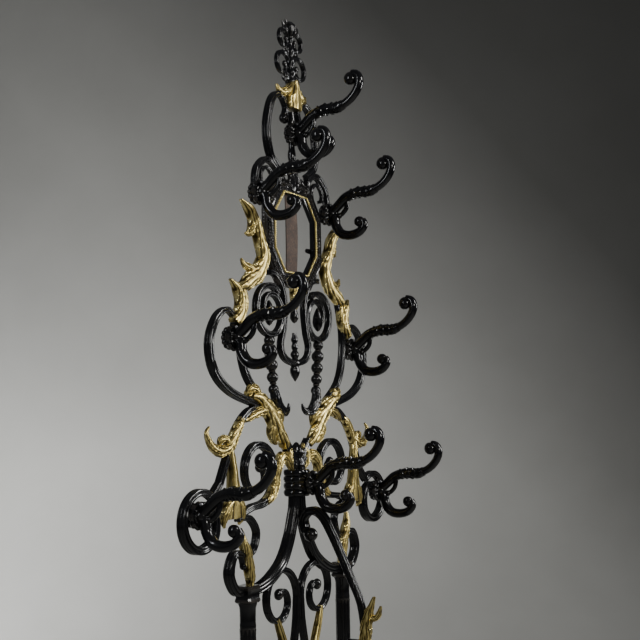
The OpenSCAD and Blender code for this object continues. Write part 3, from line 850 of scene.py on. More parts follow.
# %% Side leaves and their heels
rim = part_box("mirror_frame")[1][0] / scale_x / MM
side_line = curve((204, 790), (182, 776), (162, 754), (rim + 34, 730), (rim + 22, 706),
                  (rim + 14, 686), (rim + 20, 666), (152, 644), (184, 624), (214, 606))
side_curl = curve((166, 760), (166, 740), (176, 724), (188, 722))
lower_curl = curve((150, 650), (172, 650), (194, 656), (204, 668))
SIDE_ROWS = [
    (side_line, [4, 13, 16, 16, 19, 22, 23, 21, 17, 8], dict(lobes=5, notch=0.36, depth=15,
        sweep=0.8)),
    (side_curl, [12, 12, 9, 3], dict(lobes=2)),
    (lower_curl, [12, 11, 8, 3], dict(lobes=2)),
]
for s, name in SIDES:
    gilded("side_acanthus_" + name, leaf_set(s, SIDE_ROWS), "side_leaf_" + name)
heel_line = curve((244, 622), (226, 606), (214, 582), (218, 556), (236, 536))
heel_low = curve((206, 612), (200, 588), (206, 562), (222, 544))
gilded("heel_acanthus", both_leaves(heel_line, [4, 12, 16, 18, 13], lobes=3, depth=14,
                                    sweep=0.3) + both_leaves(heel_low, [8, 11, 12, 7],
    lobes=3), "heel_leaves")

# %% Junction leaves and cuffs
junction = curve((178, 390), (152, 386), (124, 368), (100, 346), (78, 318), (60, 300),
                 (46, 286))
junction_tip = curve((150, 382), (164, 402), (182, 404), (188, 390))
junction_low = curve((104, 350), (84, 356), (68, 346), (64, 328))
junction_band = curve((120, 362), (146, 360), (172, 352), (196, 340))
junction_fold = curve((96, 340), (104, 318), (94, 298), (78, 292))
JUNCTION_ROWS = [
    (junction, [9, 19, 24, 25, 20, 15, 10], dict(lobes=4, depth=15, notch=0.36)),
    (junction_tip, [10, 13, 10, 3], dict(lobes=2)),
    (junction_low, [12, 14, 10, 3], dict(lobes=2)),
    (junction_fold, [12, 12, 9, 3], dict(lobes=2)),
    (junction_band, [13, 12, 10, 5], dict(lobes=3, depth=13)),
]
for s, name in SIDES:
    eyes = [gold_eye(s * at(x, 0)[0], at(0, z)[1], r) for x, z, r in ((184, 396, 7),
        (54, 292, 11), (112, 368, 9))]
    gilded("junction_acanthus_" + name, leaf_set(s, JUNCTION_ROWS) + eyes, "junction_leaf_" +
           name)
cuff_line = curve((206, 346), (222, 332), (238, 312), (256, 282))
cuff_tip = curve((246, 300), (268, 286), (296, 284), (318, 298), (328, 318), (318, 330))
gilded("cuff_acanthus", both_leaves(cuff_line, [9, 14, 14, 10], lobes=4, depth=10) +
       both_leaves(cuff_tip, [10, 13, 12, 9, 6, 3], lobes=4), "cuff_leaves")

# %% Long fluted leaves
fluted_line = curve((258, 296), (252, 268), (248, 238), (246, 210), (244, 184), (243, 152))
fluted_top = curve((256, 286), (266, 304), (284, 304), (286, 290))
fluted_end = curve((250, 190), (266, 172), (276, 152), (270, 136))
fluted_out = curve((238, 190), (222, 172), (214, 154), (222, 138))
gilded("fluted_acanthus", both_leaves(fluted_line, [10, 10, 12, 18, 30, 36], lobes=2, ribs=0,
                                      notch=0.26, depth=13, curl=7, sweep=0.25, flutes=3.4) +
       both_leaves(fluted_line, [4, 5, 6, 7, 8, 7], lobes=7, depth=17) +
       both_leaves(fluted_top, [9, 10, 8, 3], lobes=2) + both_leaves(fluted_end,
    [14, 15, 10, 3], lobes=2) + both_leaves(fluted_out, [13, 14, 9, 3], lobes=2),
       "fluted_leaves")

# %% Sleeves and small leaves
sleeve = spiral(spiral_mid, 63, 62, -112, -176, 12)
sleeve_curl = curve((90, 222), (82, 246), (66, 264), (48, 262), (42, 248))
gilded("spiral_sleeves", both_leaves(sleeve, [11, 14, 15, 14], lobes=3) +
       both_leaves(sleeve_curl, [14, 15, 12, 4], lobes=3), "scroll_sleeves")
post_line = smooth_line(crown([(216, 128), (212, 104), (202, 84)]) +
                        [(post_x - 2 * MM, post_top + 46 * MM),
                         (post_x - 8 * MM, post_top + 14 * MM)])
gilded("post_acanthus", both_leaves(post_line, [6, 12, 15, 14, 9], lobes=4), "post_leaves")
bud_line = smooth_line([(x * MM * scale_x, collar_high + z * MM) for x, z in [(20, -2),
    (32, 12), (36, 30), (26, 54)]])
gilded("bud_acanthus", both_leaves(bud_line, [6, 11, 10, 4], lobes=3), "bud_leaves")
tail = smooth_line(between([(90, -66), (76, -98), (56, -142), (34, -192)]))
gilded("crook_tail_leaves", both_leaves(tail, [8, 10, 11, 6], lobes=2, ribs=0, notch=0.12,
                                        flutes=1.6, sweep=0.1), "tail_leaves")
low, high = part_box("panel_leaf")
gilded("panel_acanthus", [leaf([(0, high[2]), (0, (low[2] + high[2]) / 2), (0, low[2])],
                               [6, 21, 7], lobes=3)], "panel_leaf")

# %% [markdown]
# ## Double hooks
# Eight hooks, all from one pattern: an upper arm that rises in an S to a ball, with bark
# like leaf scales round its middle, a lower arm that turns up in a J to a second ball,
# and a teardrop brace between them. The arms are swept round sections whose radius
# changes along the line. They grow out of a rosette of petals held by two screws.

# %% The hook pattern
UPPER = [(12, 0), (32, 16), (54, 34), (82, 42), (112, 42), (140, 53), (159, 71), (167, 91),
         (162, 107), (150, 111)]
UPPER_R = [12, 11, 12, 12, 10.8, 9.2, 9.2, 9.4, 9.6, 9.0]
LOWER = [(12, 0), (24, -10), (28, -30), (42, -49), (64, -54), (86, -48), (98, -34), (94, -22)]
LOWER_R = [12, 11.4, 11.2, 11.2, 10.8, 10.2, 9.4, 8.0]
BRACE = [(58, 30), (54, 10), (44, -2), (36, -6)]
BRACE_R = [4.6, 5.4, 5.4, 5.0]
SHEATH = [(58, 36), (82, 42), (112, 42), (128, 47)]
STRETCH, FOOT = 1.0328, 10
HOOKS = ["hook_top", "hook_row2_left", "hook_row2_right", "hook_row3_left", "hook_row3_right",
         "hook_row4_left", "hook_row4_right", "hook_centre"]
PLACES = {"top": at(0, 970), "row2": at(146, 813), "row3": at(245, 504), "row4": at(365, 167)}


def hook_home(name):
    """Where a hook's own drawing begins: on its axis, at the frame's front plane."""
    low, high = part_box(name)
    row = name.split("_")[1]
    z = PLACES[row][1] if row in PLACES else (collar_low + collar_high) / 2
    return Vector(((low[0] + high[0]) / 2, high[1] + 6 * MM, z))


def on_hook(home, forward, up):
    """A point of the hook's drawing, in mm, laid on the rack."""
    forward = FOOT + (forward - FOOT) * STRETCH
    return home + Vector((0, -forward, up)) * MM


def arm(home, drawn, radii, step=0.0025):
    line = even([on_hook(home, f, u) for f, u in smooth_line(drawn)], step)
    last = len(line) - 1
    return line, [along(radii, i / last) * MM for i in range(last + 1)]


def ball(centre, radius, flat=1.0):
    rings = []
    for i in range(1, 10):
        a = math.pi * i / 10
        rings.append([centre +
                      Vector((math.cos(b) * math.sin(a) * flat, math.sin(b) * math.sin(a),
                              math.cos(a))) * radius * MM for b in turns(16)])
    return shell(rings)


def sheath(home):
    """Bark-like scales round the middle of the upper arm, as a rippled sleeve."""
    line, _ = arm(home, SHEATH, [1, 1], 0.0013)
    last = len(line) - 1
    rings = []
    for i, p in enumerate(line):
        t = i / last
        ahead = heading(line, i)
        up = Vector((1, 0, 0)).cross(ahead)
        swell = math.sin(math.pi * min(max(t, 0.02), 0.98)) ** 0.5
        ring = []
        for angle in turns(30):
            scale = ((t * 4.6 + 0.5 * (math.cos(2 * angle) > 0)) % 1.0) ** 0.7
            grain = 0.5 + 0.5 * math.cos(7 * angle + 9 * t)
            thorn = 2.6 * max(0.0, scale - 0.72) / 0.28 * max(0.0, math.cos(3 * angle)) ** 2
            radius = 10.0 + swell * (1.6 + 1.6 * scale + 0.7 * grain + thorn)
            ring.append(p + (Vector((1, 0, 0)) * math.cos(angle) + up * math.sin(angle)) *
                        radius * MM)
        rings.append(ring)
    return shell(rings)


def rosette(home, back, front, radius, petals=8):
    """A domed disc of petals on the hook's axis, from back to front in mm."""
    rings = []
    for share, height in ((0.02, 0), (0.94, 0), (1.0, 0.25), (0.97, 0.55), (0.84, 0.85),
                          (0.64, 0.72), (0.56, 0.95), (0.36, 1.0), (0.02, 1.0)):
        ring = []
        for angle in turns(48):
            lobe = 1 - 0.13 * (1 - abs(math.cos(petals * angle / 2)) ** 0.5) * (share > 0.5)
            vein = 0.9 * math.cos(petals * angle) * (0.5 < share < 0.9)
            out = back + (front - back) * height + vein
            ring.append(home + Vector((math.cos(angle) * radius * share * lobe, -out,
                                       math.sin(angle) * radius * share * lobe)) * MM)
        rings.append(ring)
    return shell(rings)


# %% Eight hooks
for name in HOOKS:
    home = hook_home(name)
    lines = [arm(home, UPPER, UPPER_R), arm(home, LOWER, LOWER_R), arm(home, BRACE, BRACE_R)]
    extra = [ball(on_hook(home, 146, 101), 14.8, 0.8), ball(on_hook(home, 86, -25), 12.4,
        0.85), ball(on_hook(home, 36, -6), 7), sheath(home), rosette(home, 6, 16, 27),
             ball(on_hook(home, 17, 0), 14)]
    swept("double_" + name, lines, name, profile=ROUND, facing=(1, 0, 0), extra=extra,
          angle=42)
bosses = [rosette(home, -6 + (home.y - plane_y) / MM, 6, 24, 12)
          for home in map(hook_home, HOOKS)]
cast("hook_bosses_ribbed", bosses, "hook_bosses")


# %% [markdown]
# ## Screws and pearls
# Screws and pearls repeat, so one small shape is put on many points. The tree turns a
# list of points into copies, makes them real and gives them their finish.

# %% The scatter tree
def scatter_tree():
    tree, given, link = begin_tree("scatter", Points="Object", Shape="Object",
                                   Tilt="Vector", Size="Float", Finish="Material")
    points = node(tree, "GeometryNodeObjectInfo")
    shape = node(tree, "GeometryNodeObjectInfo")
    copies = node(tree, "GeometryNodeInstanceOnPoints")
    turn_by = node(tree, "FunctionNodeRandomValue", data_type="FLOAT", Seed=4)
    whirl = node(tree, "ShaderNodeCombineXYZ")
    spin = node(tree, "ShaderNodeVectorMath", operation="ADD")
    turn_by.inputs[2].default_value, turn_by.inputs[3].default_value = -1.4, 1.4
    link(turn_by.outputs[1], whirl.inputs["Y"])
    link(given.outputs["Tilt"], spin.inputs[0])
    link(whirl.outputs[0], spin.inputs[1])
    link(given.outputs["Points"], points.inputs["Object"])
    link(given.outputs["Shape"], shape.inputs["Object"])
    link(points.outputs["Geometry"], copies.inputs["Points"])
    link(shape.outputs["Geometry"], copies.inputs["Instance"])
    link(spin.outputs[0], copies.inputs["Rotation"])
    link(given.outputs["Size"], copies.inputs["Scale"])
    return end_tree(tree, given, copies.outputs[0])


SCATTER = scatter_tree()


def helper_mesh(name, verts, faces=()):
    mesh = bpy.data.meshes.new(name)
    mesh.from_pydata([tuple(v) for v in verts], [], list(faces))
    made = bpy.data.objects.new(name, mesh)
    bpy.context.scene.collection.objects.link(made)
    return made


def scattered(name, places, shape, finish):
    """Copies a shape onto places and returns the vertices, faces and relief."""
    points = helper_mesh(name + "_points", places)
    pattern = helper_mesh(name + "_shape", shape[0], shape[1])
    mesh = run_tree(SCATTER, name, Points=points, Shape=pattern, Tilt=(0, 0, 0), Size=1.0,
                    Finish=finish)
    bpy.data.objects.remove(points)
    bpy.data.objects.remove(pattern)
    return mesh_part(mesh, 0.75)


# %% Screws with slotted heads
def screw_head(radius, height):
    """A domed head with a slot, its axis along -Y and its seat at the origin."""
    rings, count = [], 16
    for share, up in ((0.02, -0.25), (1.0, -0.25), (1.0, 0.35), (0.82, 0.8), (0.5, 1.0),
                      (0.26, 1.05), (0.02, 1.05)):
        ring = []
        for angle in turns(count):
            x, z = math.cos(angle) * radius * share, math.sin(angle) * radius * share
            cut = 0.45 if abs(z) < radius * 0.17 and up > 0.5 else 0
            ring.append(Vector((x, -(up - cut) * height, z)) * MM)
        rings.append(ring)
    return shell(rings)


screw_places = [hook_home(name) + Vector((0, -15.4, s * 20.5)) * MM for name in HOOKS
                for s in (-1, 1)]
cast("slotted_hook_screws", [scattered("hook_screw", screw_places, screw_head(4.4, 3.0),
                                       STEEL)], "hook_screws", finish=STEEL)
MIRROR_MID, STRAP_REACH = 746, 102
screw_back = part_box("back_screws")[1][1]
button_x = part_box("turn_button_right")[1][0] - 7 * MM
button_z = at(0, 720)[1]
back_places = [Vector((x, screw_back - 2.2 * MM, z))
               for x, z in [(0, at(0, MIRROR_MID + STRAP_REACH)[1]),
                            (0, at(0, MIRROR_MID - STRAP_REACH)[1]), (-button_x, button_z),
                            (button_x, button_z)]]
turned = screw_head(4.2, 2.0)
turned = ([Vector((v.x, -v.y, v.z)) for v in turned[0]], turned[1], turned[2])
cast("slotted_back_screws", [scattered("back_screw", back_places, turned, STEEL)],
     "back_screws", finish=STEEL)

# %% [markdown]
# ## The mirror frame
# An octagon with a stepped moulding, rows of pearls and a gilded rope round the
# opening. The glass is gone, so the opening shows the rusty strap that crossed its back.

# %% Octagon rings
frame_low, frame_high = (Vector(c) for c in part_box("mirror_frame"))
frame_mid = (frame_low + frame_high) / 2
frame_w, frame_h = frame_high.x - frame_low.x, frame_high.z - frame_low.z
CHAMFER, RAIL = 48, 32


def octagon(inset, out):
    """The frame's outline moved in by inset mm, out mm in front of the frame's middle."""
    w, h = frame_w - 2 * inset * MM, frame_h - 2 * inset * MM
    c = (CHAMFER + 0.45 * (RAIL - inset)) * MM
    corners = [(w / 2, h / 2 - c), (w / 2 - 0.8 * c, h / 2)]
    half = corners + [(-x, z) for x, z in reversed(corners)]
    return [Vector((x, plane_y - out * MM, frame_mid.z + z))
            for x, z in half + [(-x, -z) for x, z in half]]


def closed_ring(rings):
    """Skins a stack of equal rings whose last ring meets the first again."""
    size, last = len(rings[0]), len(rings)
    faces = [(i * size + k, i * size + (k + 1) % size,
              ((i + 1) % last) * size + (k + 1) % size, ((i + 1) % last) * size + k)
             for i in range(last) for k in range(size)]
    return [p for ring in rings for p in ring], faces, [0.6] * (size * last)


# %% Moulding, pearls and a row of small leaves
moulding = closed_ring([octagon(inset, out) for inset, out in ((0, -6), (0, 3), (1.5, 5.5),
    (4, 6.5), (6, 5), (7.5, 3), (14, 2.5), (19, 4), (21, 6), (24, 7), (28, 6), (29, 3),
    (32, 2), (32, -7), (3, -7))])


def pearl(radius, rows=5):
    rings = []
    for i in range(1, rows + 1):
        a = math.pi * i / (rows + 1)
        rings.append([Vector((math.cos(b) * math.sin(a), -math.cos(a) * 0.8,
                              math.sin(b) * math.sin(a))) * radius * MM for b in turns(8)])
    return shell(rings)


def spread_round(inset, out, gap):
    ring = octagon(inset, out)
    return even([tuple(p) for p in ring + ring[:1]], gap * MM)[:-1]


outer_pearls = scattered("outer_pearl", spread_round(11.5, 4.6, 8.2), pearl(4.3), ENAMEL)
inner_pearls = scattered("inner_pearl", spread_round(26.0, 6.6, 5.6), pearl(2.7), ENAMEL)
petal = shell([[Vector((x * w, -y, z)) * MM for x, y in ((-1, 0), (-0.6, 2.2), (0, 3.2),
    (0.6, 2.2), (1, 0), (0, -1))] for z, w in ((-4, 0.3), (-2.5, 2.4), (0, 3.2), (2.5, 2.2),
    (4, 0.3))])
frame_petals = scattered("frame_petal", spread_round(18.5, 3.2, 7.6), petal, ENAMEL)
side_pearls = scattered("side_pearl", spread_round(0.6, -1.5, 7.0), pearl(3.0), ENAMEL)
gilt_pearls = scattered("gilt_pearl", spread_round(30.6, 9.6, 4.3), pearl(2.1), GOLD)
cast("pearled_frame", [moulding, outer_pearls, inner_pearls, frame_petals, side_pearls],
     "mirror_frame", angle=35)

# %% Rope edge
strands = []
for a in turns(24):
    swell = 1 - 0.30 * abs(math.sin(1.5 * a)) ** 0.7
    strands.append(Vector((math.cos(a) * swell, math.sin(a) * swell, 0)))
ROPE = line_object("rope_section", [(strands, [1] * 24)], cyclic=True)
rope_line = spread_round(30.0, 8.0, 1.2)
swept("gilt_rope", [(rope_line + rope_line[:1], [2.2 * MM] * (len(rope_line) + 1))],
      "rope_edge", profile=ROPE, finish=GOLD, twist=420.0, extra=[gilt_pearls])

# %% Strap and turn buttons
low, high = (Vector(c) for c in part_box("back_strap"))
rings = []
for i in range(25):
    t = i / 24
    z = low.z + (high.z - low.z) * t
    bow = -5.0 * MM * math.sin(math.pi * t) ** 0.7
    wave = 0.5 * MM * math.sin(21 * t) + 0.35 * MM * math.sin(47 * t)
    half = (high.x - low.x) / 2 * (1 - 0.03 * math.sin(9 * t))
    rings.append([Vector((x, y + bow, z)) for x, y in ((-half, low.y),
        (-half * 0.5, low.y - 0.3 * MM + wave * 0.3), (half * 0.4, low.y + wave * 0.3),
        (half, low.y), (half, high.y), (0, high.y), (-half, high.y))])
cast("rusty_back_strap", [shell(rings)], "back_strap", finish=STRAP, angle=30)
for s, name in SIDES:
    low, high = (Vector(c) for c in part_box("turn_button_" + name))
    outer, inner = (high.x, low.x) if s > 0 else (low.x, high.x)
    z, big, small = (low.z + high.z) / 2, (high.z - low.z) / 2, 4.8 * MM
    pivot, tip = outer - s * big, inner + s * small
    outline = [(pivot + s * big * math.cos(a), big * math.sin(a))
               for a in [math.radians(-84 + 14 * k) for k in range(13)]]
    outline += [(tip - s * small * math.cos(a), small * math.sin(a))
                for a in [math.radians(84 - 14 * k) for k in range(13)]]
    rings = []
    for share, y in ((0.90, 0.0), (1.0, 0.2), (1.0, 0.8), (0.90, 1.0)):
        middle_x = (pivot + tip) / 2
        rings.append([Vector((middle_x + (x - middle_x) * (1 - (1 - share) * 0.5), low.y +
                              (high.y - low.y) * y, z + v * share)) for x, v in outline])
    cast("turn_button_bevelled_" + name, [shell(rings)], "turn_button_" + name,
         body="button_" + name, angle=30)

# %% [markdown]
# ## Turned and beaded pieces
# The finial, the pendants, the beads, the collar and the two posts are turned: a profile
# is spun round an axis. Lobes on the profile make buds and cord.

# %% Finial
foot = at(0, 1084)[1]
finial_profile = [(0, 0), (11, 0), (13, 4), (13, 8), (9, 14), (9, 18), (12.5, 24), (12.5, 28),
                  (8, 35), (8, 40), (11.5, 48), (11.5, 54), (7, 62), (7, 66), (10.5, 73),
                  (10.5, 78), (6, 86), (5, 100), (9, 104), (9, 107), (5, 110), (0, 110)]
tall = (cad_high[2] - foot) / MM / 146
finial_parts = [lathe([(r, h * tall) for r, h in finial_profile], (0, plane_y, foot))]
bud = [(0.5, 108), (8, 108), (13.5, 115), (15, 121), (13, 128), (14, 131), (10, 137), (5, 143),
       (0.5, 145.6)]
finial_parts.append(lathe([(r, h * tall) for r, h in bud], (0, plane_y, foot), "Z", 40, 8,
                          0.22))
finial_lines = []
for x, h, r in ((33, 1122, 29), (25, 1182, 24)):
    line = spiral(at(x, h), r, 0.3 * r, 235, -200, 34, 2.4)
    finial_lines += both_bars(line, [3.0, 3.8, 4.2, 3.8, 3.0])
    finial_parts += both_eyes(*line[-1], 0.26 * r, 5)
for x, h, r in ((19, 1098, 9), (15, 1156, 8), (13, 1206, 7)):
    finial_parts += [ball(Vector((s * x * MM, plane_y, at(0, h)[1])), r * 0.75)
                     for s in (-1, 1)]
    line = spiral(at(x, h), r, 0.3 * r, 200, -100, 16)
    finial_lines += both_bars(line, [2.4, 3.0, 2.4])
for drawn, widths in (([(4, 1196), (14, 1206), (26, 1212), (32, 1222)], [5, 7, 6, 2]),
                      ([(3, 1206), (8, 1216), (16, 1224), (20, 1229)], [4, 6, 5, 1.5]),
                      ([(4, 1136), (14, 1146), (24, 1150), (30, 1160)], [5, 7, 6, 2]),
                      ([(6, 1090), (18, 1094), (28, 1090), (36, 1096)], [6, 8, 6, 2])):
    finial_parts += both_leaves(smooth_line(crown(drawn)), widths, lobes=2, depth=7, curl=3)
swept("finial_scrolls", finial_lines, "finial", extra=finial_parts)

# %% Crest stem, pendants, beads and buds
low, high = (Vector(c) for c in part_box("crest_stem"))
stem_profile = [(8 + 1.2 * math.cos(7 * math.pi * k / 20), (high.z - low.z) / MM * k / 20)
                for k in range(21)]
cast("crest_stem_ringed", [lathe(stem_profile, (0, plane_y, low.z), "Z", 24)], "crest_stem")
acorn = [(0, 0), (3, 4), (8, 12), (10.5, 20), (10.5, 28), (8.5, 33), (11, 37), (11.5, 42),
         (10, 46), (6, 50), (8.5, 55), (9.5, 59), (8.5, 63), (5, 68), (7, 73), (7, 78),
         (5, 84), (7.5, 89), (7.5, 94), (5, 99), (5, 106), (0, 106)]
top_drop = [(0, 0), (5, 3), (9.5, 11), (9, 20), (5.5, 29), (4, 36), (5, 42), (4, 48), (4, 76),
            (0, 76)]
cast("acorn_pendants", [lathe(acorn, (0, plane_y, at(0, 423)[1]), "Z", 36, 9, 0.10),
                        lathe(top_drop, (0, plane_y, at(0, 550)[1]), "Z", 30)], "pendants")
drops, radii = [], [12, 14, 13.5, 12.5, 11.5]
for s in (-1, 1):
    top, end = Vector(at(103, 520)), Vector(at(86, 392))
    for k, r in enumerate(radii):
        p, q = (top.lerp(end, (k + step) / len(radii)) for step in (0.5, 1.0))
        drops.append(ball(Vector((s * p.x, plane_y, p.y)), r))
        drops.append(lathe([(0.5, -2.5), (6.5, -2.2), (8.2, 0), (6.5, 2.2), (0.5, 2.5)],
                           (s * q.x, plane_y, q.y), "Z", 20))
    foot_line = curve((88, 406), (82, 382), (66, 364), (46, 358), (32, 364), (28, 376))
    drops.append(leaf(on_side(foot_line, s), [11, 15, 14, 11, 7, 3], lobes=3, depth=11))
cast("bead_drops_curled", drops, "bead_drops")
bud_line = [(0.5, 0), (15, 0), (17.5, 6), (16.5, 13), (12.5, 22), (12.5, 27), (15.5, 34),
            (14, 42), (9, 50), (3, 57), (0.5, 58)]
cast("leafy_bud", [lathe(bud_line, (0, plane_y, collar_high), "Z", 42, 7, 0.18)], "centre_bud")

# %% Corded collar and posts
low, high = (Vector(c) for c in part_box("collar"))
wide, tall_mm = (high.x - low.x) / 2 / MM, (high.z - low.z) / MM
cord = [(0.5, 0)] + [(wide - 3.2 + 3.2 * abs(math.sin(4 * math.pi * k / 48)) ** 0.6,
                      tall_mm * k / 48) for k in range(49)] + [(0.5, tall_mm)]
cast("corded_collar", [lathe(cord, ((low.x + high.x) / 2, (low.y + high.y) / 2, low.z), "Z",
                             40)], "collar")
for s, name in SIDES:
    low, high = (Vector(c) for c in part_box("post_" + name))
    x, y, tall_mm = (low.x + high.x) / 2, plane_y, (high.z - low.z) / MM
    shaft_top = tall_mm - 32
    foot_part = [(0.5, 0), (24, 0), (25, 4), (25, 10), (22, 14), (19, 19), (21, 24), (22, 28),
                 (20, 33), (16, 38)]
    head_part = [(16, shaft_top - 52), (16.6, shaft_top - 48), (16.6, shaft_top - 44),
                 (16, shaft_top - 40), (16, shaft_top - 32), (16.5, shaft_top - 12),
                 (19, shaft_top - 4), (19, shaft_top + 4), (0.5, shaft_top + 4)]
    shaft = [(16, 38), (15.5, 50), (15.5, shaft_top - 64), (16, shaft_top - 52)]
    half_x, half_y = (high.x - low.x) / 2 / MM - 4, 19.5
    cap = []
    for share, up in ((0.84, -2), (1.0, 1), (1.0, 5), (0.93, 8), (0.93, 22), (1.0, 25),
                      (1.0, 29), (0.86, 32)):
        cap.append([Vector((x + a * half_x * share * MM, y + b * half_y * share * MM, high.z -
                            (32 - up) * MM)) for a, b in ((1, -0.8), (1, 0.8), (0.8, 1),
            (-0.8, 1), (-1, 0.8), (-1, -0.8), (-0.8, -1), (0.8, -1))])
    cast("fluted_post_" + name, [lathe(foot_part, (x, y, low.z)), lathe(shaft, (x, y, low.z),
        "Z", 48, 12, 0.10), lathe(head_part, (x, y, low.z)), shell(cap)], "post_" + name,
         angle=35)

# %% [markdown]
# ## The lower stand
# Below the crown the rack has rails between the posts, a crosier strut that falls
# forward to an umbrella guard, scrolls at the feet, and a base with a drip tray. These
# are bars and mouldings again, laid in other planes.

# %% Rails, strut and guard
low, high = (Vector(c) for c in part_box("rails"))
rail_half = (high.x - low.x) / 2
rail_lines = []
for z in (high.z - 7 * MM, low.z + 7 * MM):
    line = [Vector((x * rail_half, plane_y, z)) for x in [k / 12 for k in range(-12, 13)]]
    rail_lines.append((line, [6.8 * MM] * len(line)))
swept("grooved_rails", rail_lines, "rails")
guard_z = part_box("guard_bar")[0][2] + 7 * MM
reach = (plane_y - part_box("guard_bar")[0][1]) / MM - 6


def forward(*points):
    """Points forward of the middle and above the posts, from mm to metres."""
    return [(f * MM, post_top + h * MM) for f, h in points]


def in_middle(line, halves):
    points = even(line, BAR_STEP)
    last = len(points) - 1
    return ([Vector((0, plane_y - p.x, p.y)) for p in points],
            [along(halves, i / last) * MM for i in range(last + 1)])


strut_line = smooth_line(forward((33, 98), (18, 110), (16, 130), (29, 146), (48, 147),
                                 (66, 134), (84, 104), (104, 63), (130, 8), (150, -38),
                                 (160, -105), (166, -170)))
STRUT = section("strut_section", 48, 1.0, (-0.4, 0.4), (0.0,), 0.22)
swept("crosier_strut", [in_middle(strut_line, [8, 9, 9, 8.4, 7.6, 7, 7, 7, 6.6, 6.4])],
      "front_strut", profile=STRUT, facing=(1, 0, 0),
      extra=[ball(Vector((0, plane_y - 33 * MM, post_top + 98 * MM)), 15),
             lathe([(0.5, 4), (8, 4), (9, 9), (7.5, 14), (8.5, 19), (7, 25), (0.5, 27)],
                   (0, plane_y, post_top + 140 * MM), "Y", 20)])
strut_leaf_line = smooth_line(forward((182, -22), (170, -52), (162, -84), (160, -112)) +
                              [((reach - 4) * MM, guard_z)])
swirl = smooth_line(forward((160, -60), (176, -66), (190, -58), (196, -40)))
STRUT_ROWS = [(strut_leaf_line, [4, 11, 14, 13, 8], 5), (swirl, [8, 8, 6, 3], 2)]


def beside(s):
    """Lays a leaf on one face of the middle plane."""
    return lambda u, v, out: Vector((s * out, plane_y - u, v))


gilded("strut_acanthus", [leaf(line, widths, lobes=n, place=beside(s), depth=9, curl=3,
                               back=0.5) for s in (-1, 1) for line, widths, n in STRUT_ROWS],
       "strut_leaf")
plan = smooth_line([(a * post_x, -b * reach * MM) for a, b in [(1, 0), (0.99, 0.3),
    (0.86, 0.62), (0.5, 0.9), (0, 1), (-0.5, 0.9), (-0.86, 0.62), (-0.99, 0.3), (-1, 0)]])
guard_line = even(plan, 0.006)
swept("umbrella_guard", [([Vector((p.x, plane_y + p.y, guard_z)) for p in guard_line],
                          [6.6 * MM] * len(guard_line))], "guard_bar", facing=(0, 0, 1))

# %% Foot scrolls
foot_line = smooth_line([(post_x + (13 + x) * MM, base_top + (z - 38) * MM)
                         for x, z in [(0, 300), (28, 262), (46, 196), (52, 130), (46, 70),
                                      (24, 44), (8, 60)]])
swept("foot_scroll_bars", both_bars(foot_line, [5, 6.4, 7, 7, 7, 6.4, 5.6]), "foot_scrolls",
      extra=both_eyes(*foot_line[-1], 9.5, 8))

# %% Base, feet and tray
base_low, base_high = (Vector(c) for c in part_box("base"))
tray_low, tray_high = (Vector(c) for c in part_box("drip_tray"))
tray_mid = (tray_low + tray_high) / 2
RIM, GAP, CORNER = 9 * MM, 2 * MM, 24 * MM
front_y, back_y, side_x = base_low.y, base_high.y, base_high.x
right = [(side_x - 105 * MM, front_y), (side_x - 22 * MM, front_y + 50 * MM),
         (side_x, tray_mid.y + 46 * MM), (side_x, back_y - 12 * MM),
         (side_x - 12 * MM, back_y)]
outline = right + [(-x, y) for x, y in reversed(right)]
well = rounded((tray_high.x - tray_low.x - 2 * RIM + 2 * GAP) / 2,
               (tray_high.y - tray_low.y - 2 * RIM + 2 * GAP) / 2, CORNER + GAP, 8, tray_mid)
centre = Vector((tray_mid.x, tray_mid.y))


def on_outline(point):
    """Where a ray from the tray's middle through a point meets the base's outline."""
    ray = (Vector(point) - centre).normalized()
    best = None
    for a, b in zip(outline, outline[1:] + outline[:1]):
        a, b = Vector(a), Vector(b)
        edge = b - a
        cross = ray.x * edge.y - ray.y * edge.x
        if abs(cross) < 1e-9:
            continue
        away = a - centre
        t = (away.x * edge.y - away.y * edge.x) / cross
        u = (away.x * ray.y - away.y * ray.x) / cross
        if t > 0 and -1e-6 <= u <= 1 + 1e-6 and (best is None or t < best):
            best = t
    return centre + ray * best


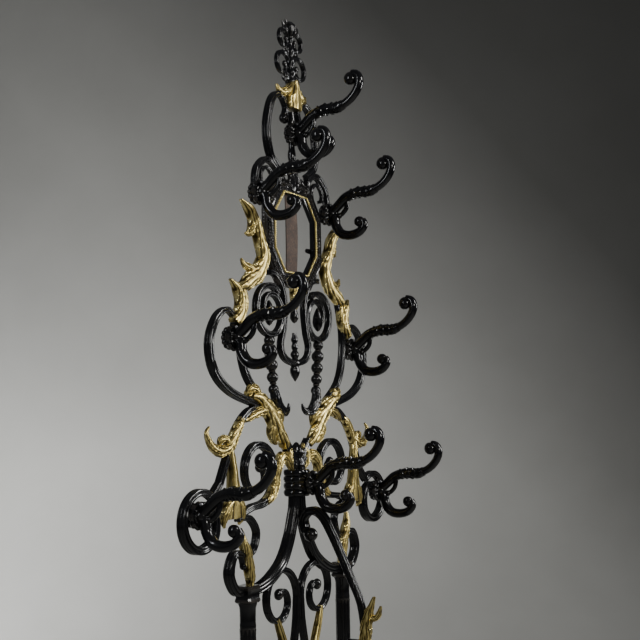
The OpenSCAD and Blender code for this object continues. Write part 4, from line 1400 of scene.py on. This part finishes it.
rays = sorted([tuple(p) for p in well] + [tuple(p) for p in outline],
              key=lambda p: math.atan2(p[1] - centre.y, p[0] - centre.x))
well_ring = []
for p in rays:
    ray = (Vector(p) - centre).normalized()
    ahead = min(well, key=lambda q: -(Vector(q) - centre).normalized().dot(ray))
    near = Vector(ahead)
    well_ring.append(centre + ray * (near - centre).length)
edge_ring = [on_outline(p) for p in rays]
base_rings = []
for inset, z in ((0, 0), (0, 5), (2.5, 7), (2.5, 9), (0.8, 11), (0.8, 14), (4, 16.5),
                 (10, 18)):
    base_rings.append([Vector((*(p + (q - p).normalized() * inset * MM), base_low.z + z * MM))
                       for p, q in zip(edge_ring, well_ring)])
base_rings += [[Vector((*p, z)) for p in well_ring] for z in (base_high.z, base_low.z)]
cast("moulded_base", [closed_ring(base_rings)], "base", angle=30)
foot_low, foot_high = (Vector(c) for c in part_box("feet"))
foot_shape = [(0.5, 0), (12, 0), (16.5, 4), (19.4, 9), (19.8, 14), (18.5, 20), (15, 25),
              (12.5, 28), (13, 31), (16.5, 35), (17, 39), (16, 42), (0.5, 42)]
foot_places = [(s * x, y) for s in (-1, 1) for x, y in ((foot_high.x - 20 * MM, foot_high.y -
    20 * MM), (side_x - 56 * MM, foot_low.y + 20 * MM))]
cast("lobed_feet", [lathe(foot_shape, (x, y, 0), "Z", 40, 8, 0.05) for x, y in foot_places],
     "feet")
floor_z = tray_low.z + 3 * MM
inner_w = tray_high.x - tray_low.x - 2 * RIM
inner_d = tray_high.y - tray_low.y - 2 * RIM
tray_rings = []
for w, z in ((-8, tray_low.z), (-1, tray_low.z + 1.5 * MM), (0, tray_low.z + 5 * MM),
             (0, base_top), (9, base_top), (9, base_top + 2 * MM), (7.5, tray_high.z),
             (-1.5, tray_high.z), (-3, tray_high.z - 2 * MM), (-3, floor_z + 6 * MM),
             (-5, floor_z + 1.5 * MM), (-9, floor_z)):
    tray_rings.append([Vector((*p, z)) for p in rounded((inner_w + 2 * w * MM) / 2,
        (inner_d + 2 * w * MM) / 2, max(CORNER + w * MM, 12 * MM), 8, tray_mid)])
ribs = []
for k in range(-6, 7):
    x = tray_mid.x + k * inner_w / 14
    half = inner_d / 2 - 14 * MM
    ribs.append(shell([[Vector((x + a * MM, tray_mid.y + half * b * c, floor_z + h * MM))
                        for a, h in ((-3.5, -1), (-2.2, 1.4), (0, 2.0), (2.2, 1.4), (3.5, -1))]
                       for b, c in ((-1, 1), (-1, 0.97), (1, 0.97), (1, 1))]))
cast("ribbed_tray", [shell(tray_rings)] + ribs, "drip_tray", body="tray", angle=30)

# %% Finish
for helper in (SCROLL, ARCH, ROUND, ROPE, STRUT):
    bpy.data.objects.remove(helper)
low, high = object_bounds()
print("box", [round(v, 3) for v in low], [round(v, 3) for v in high])
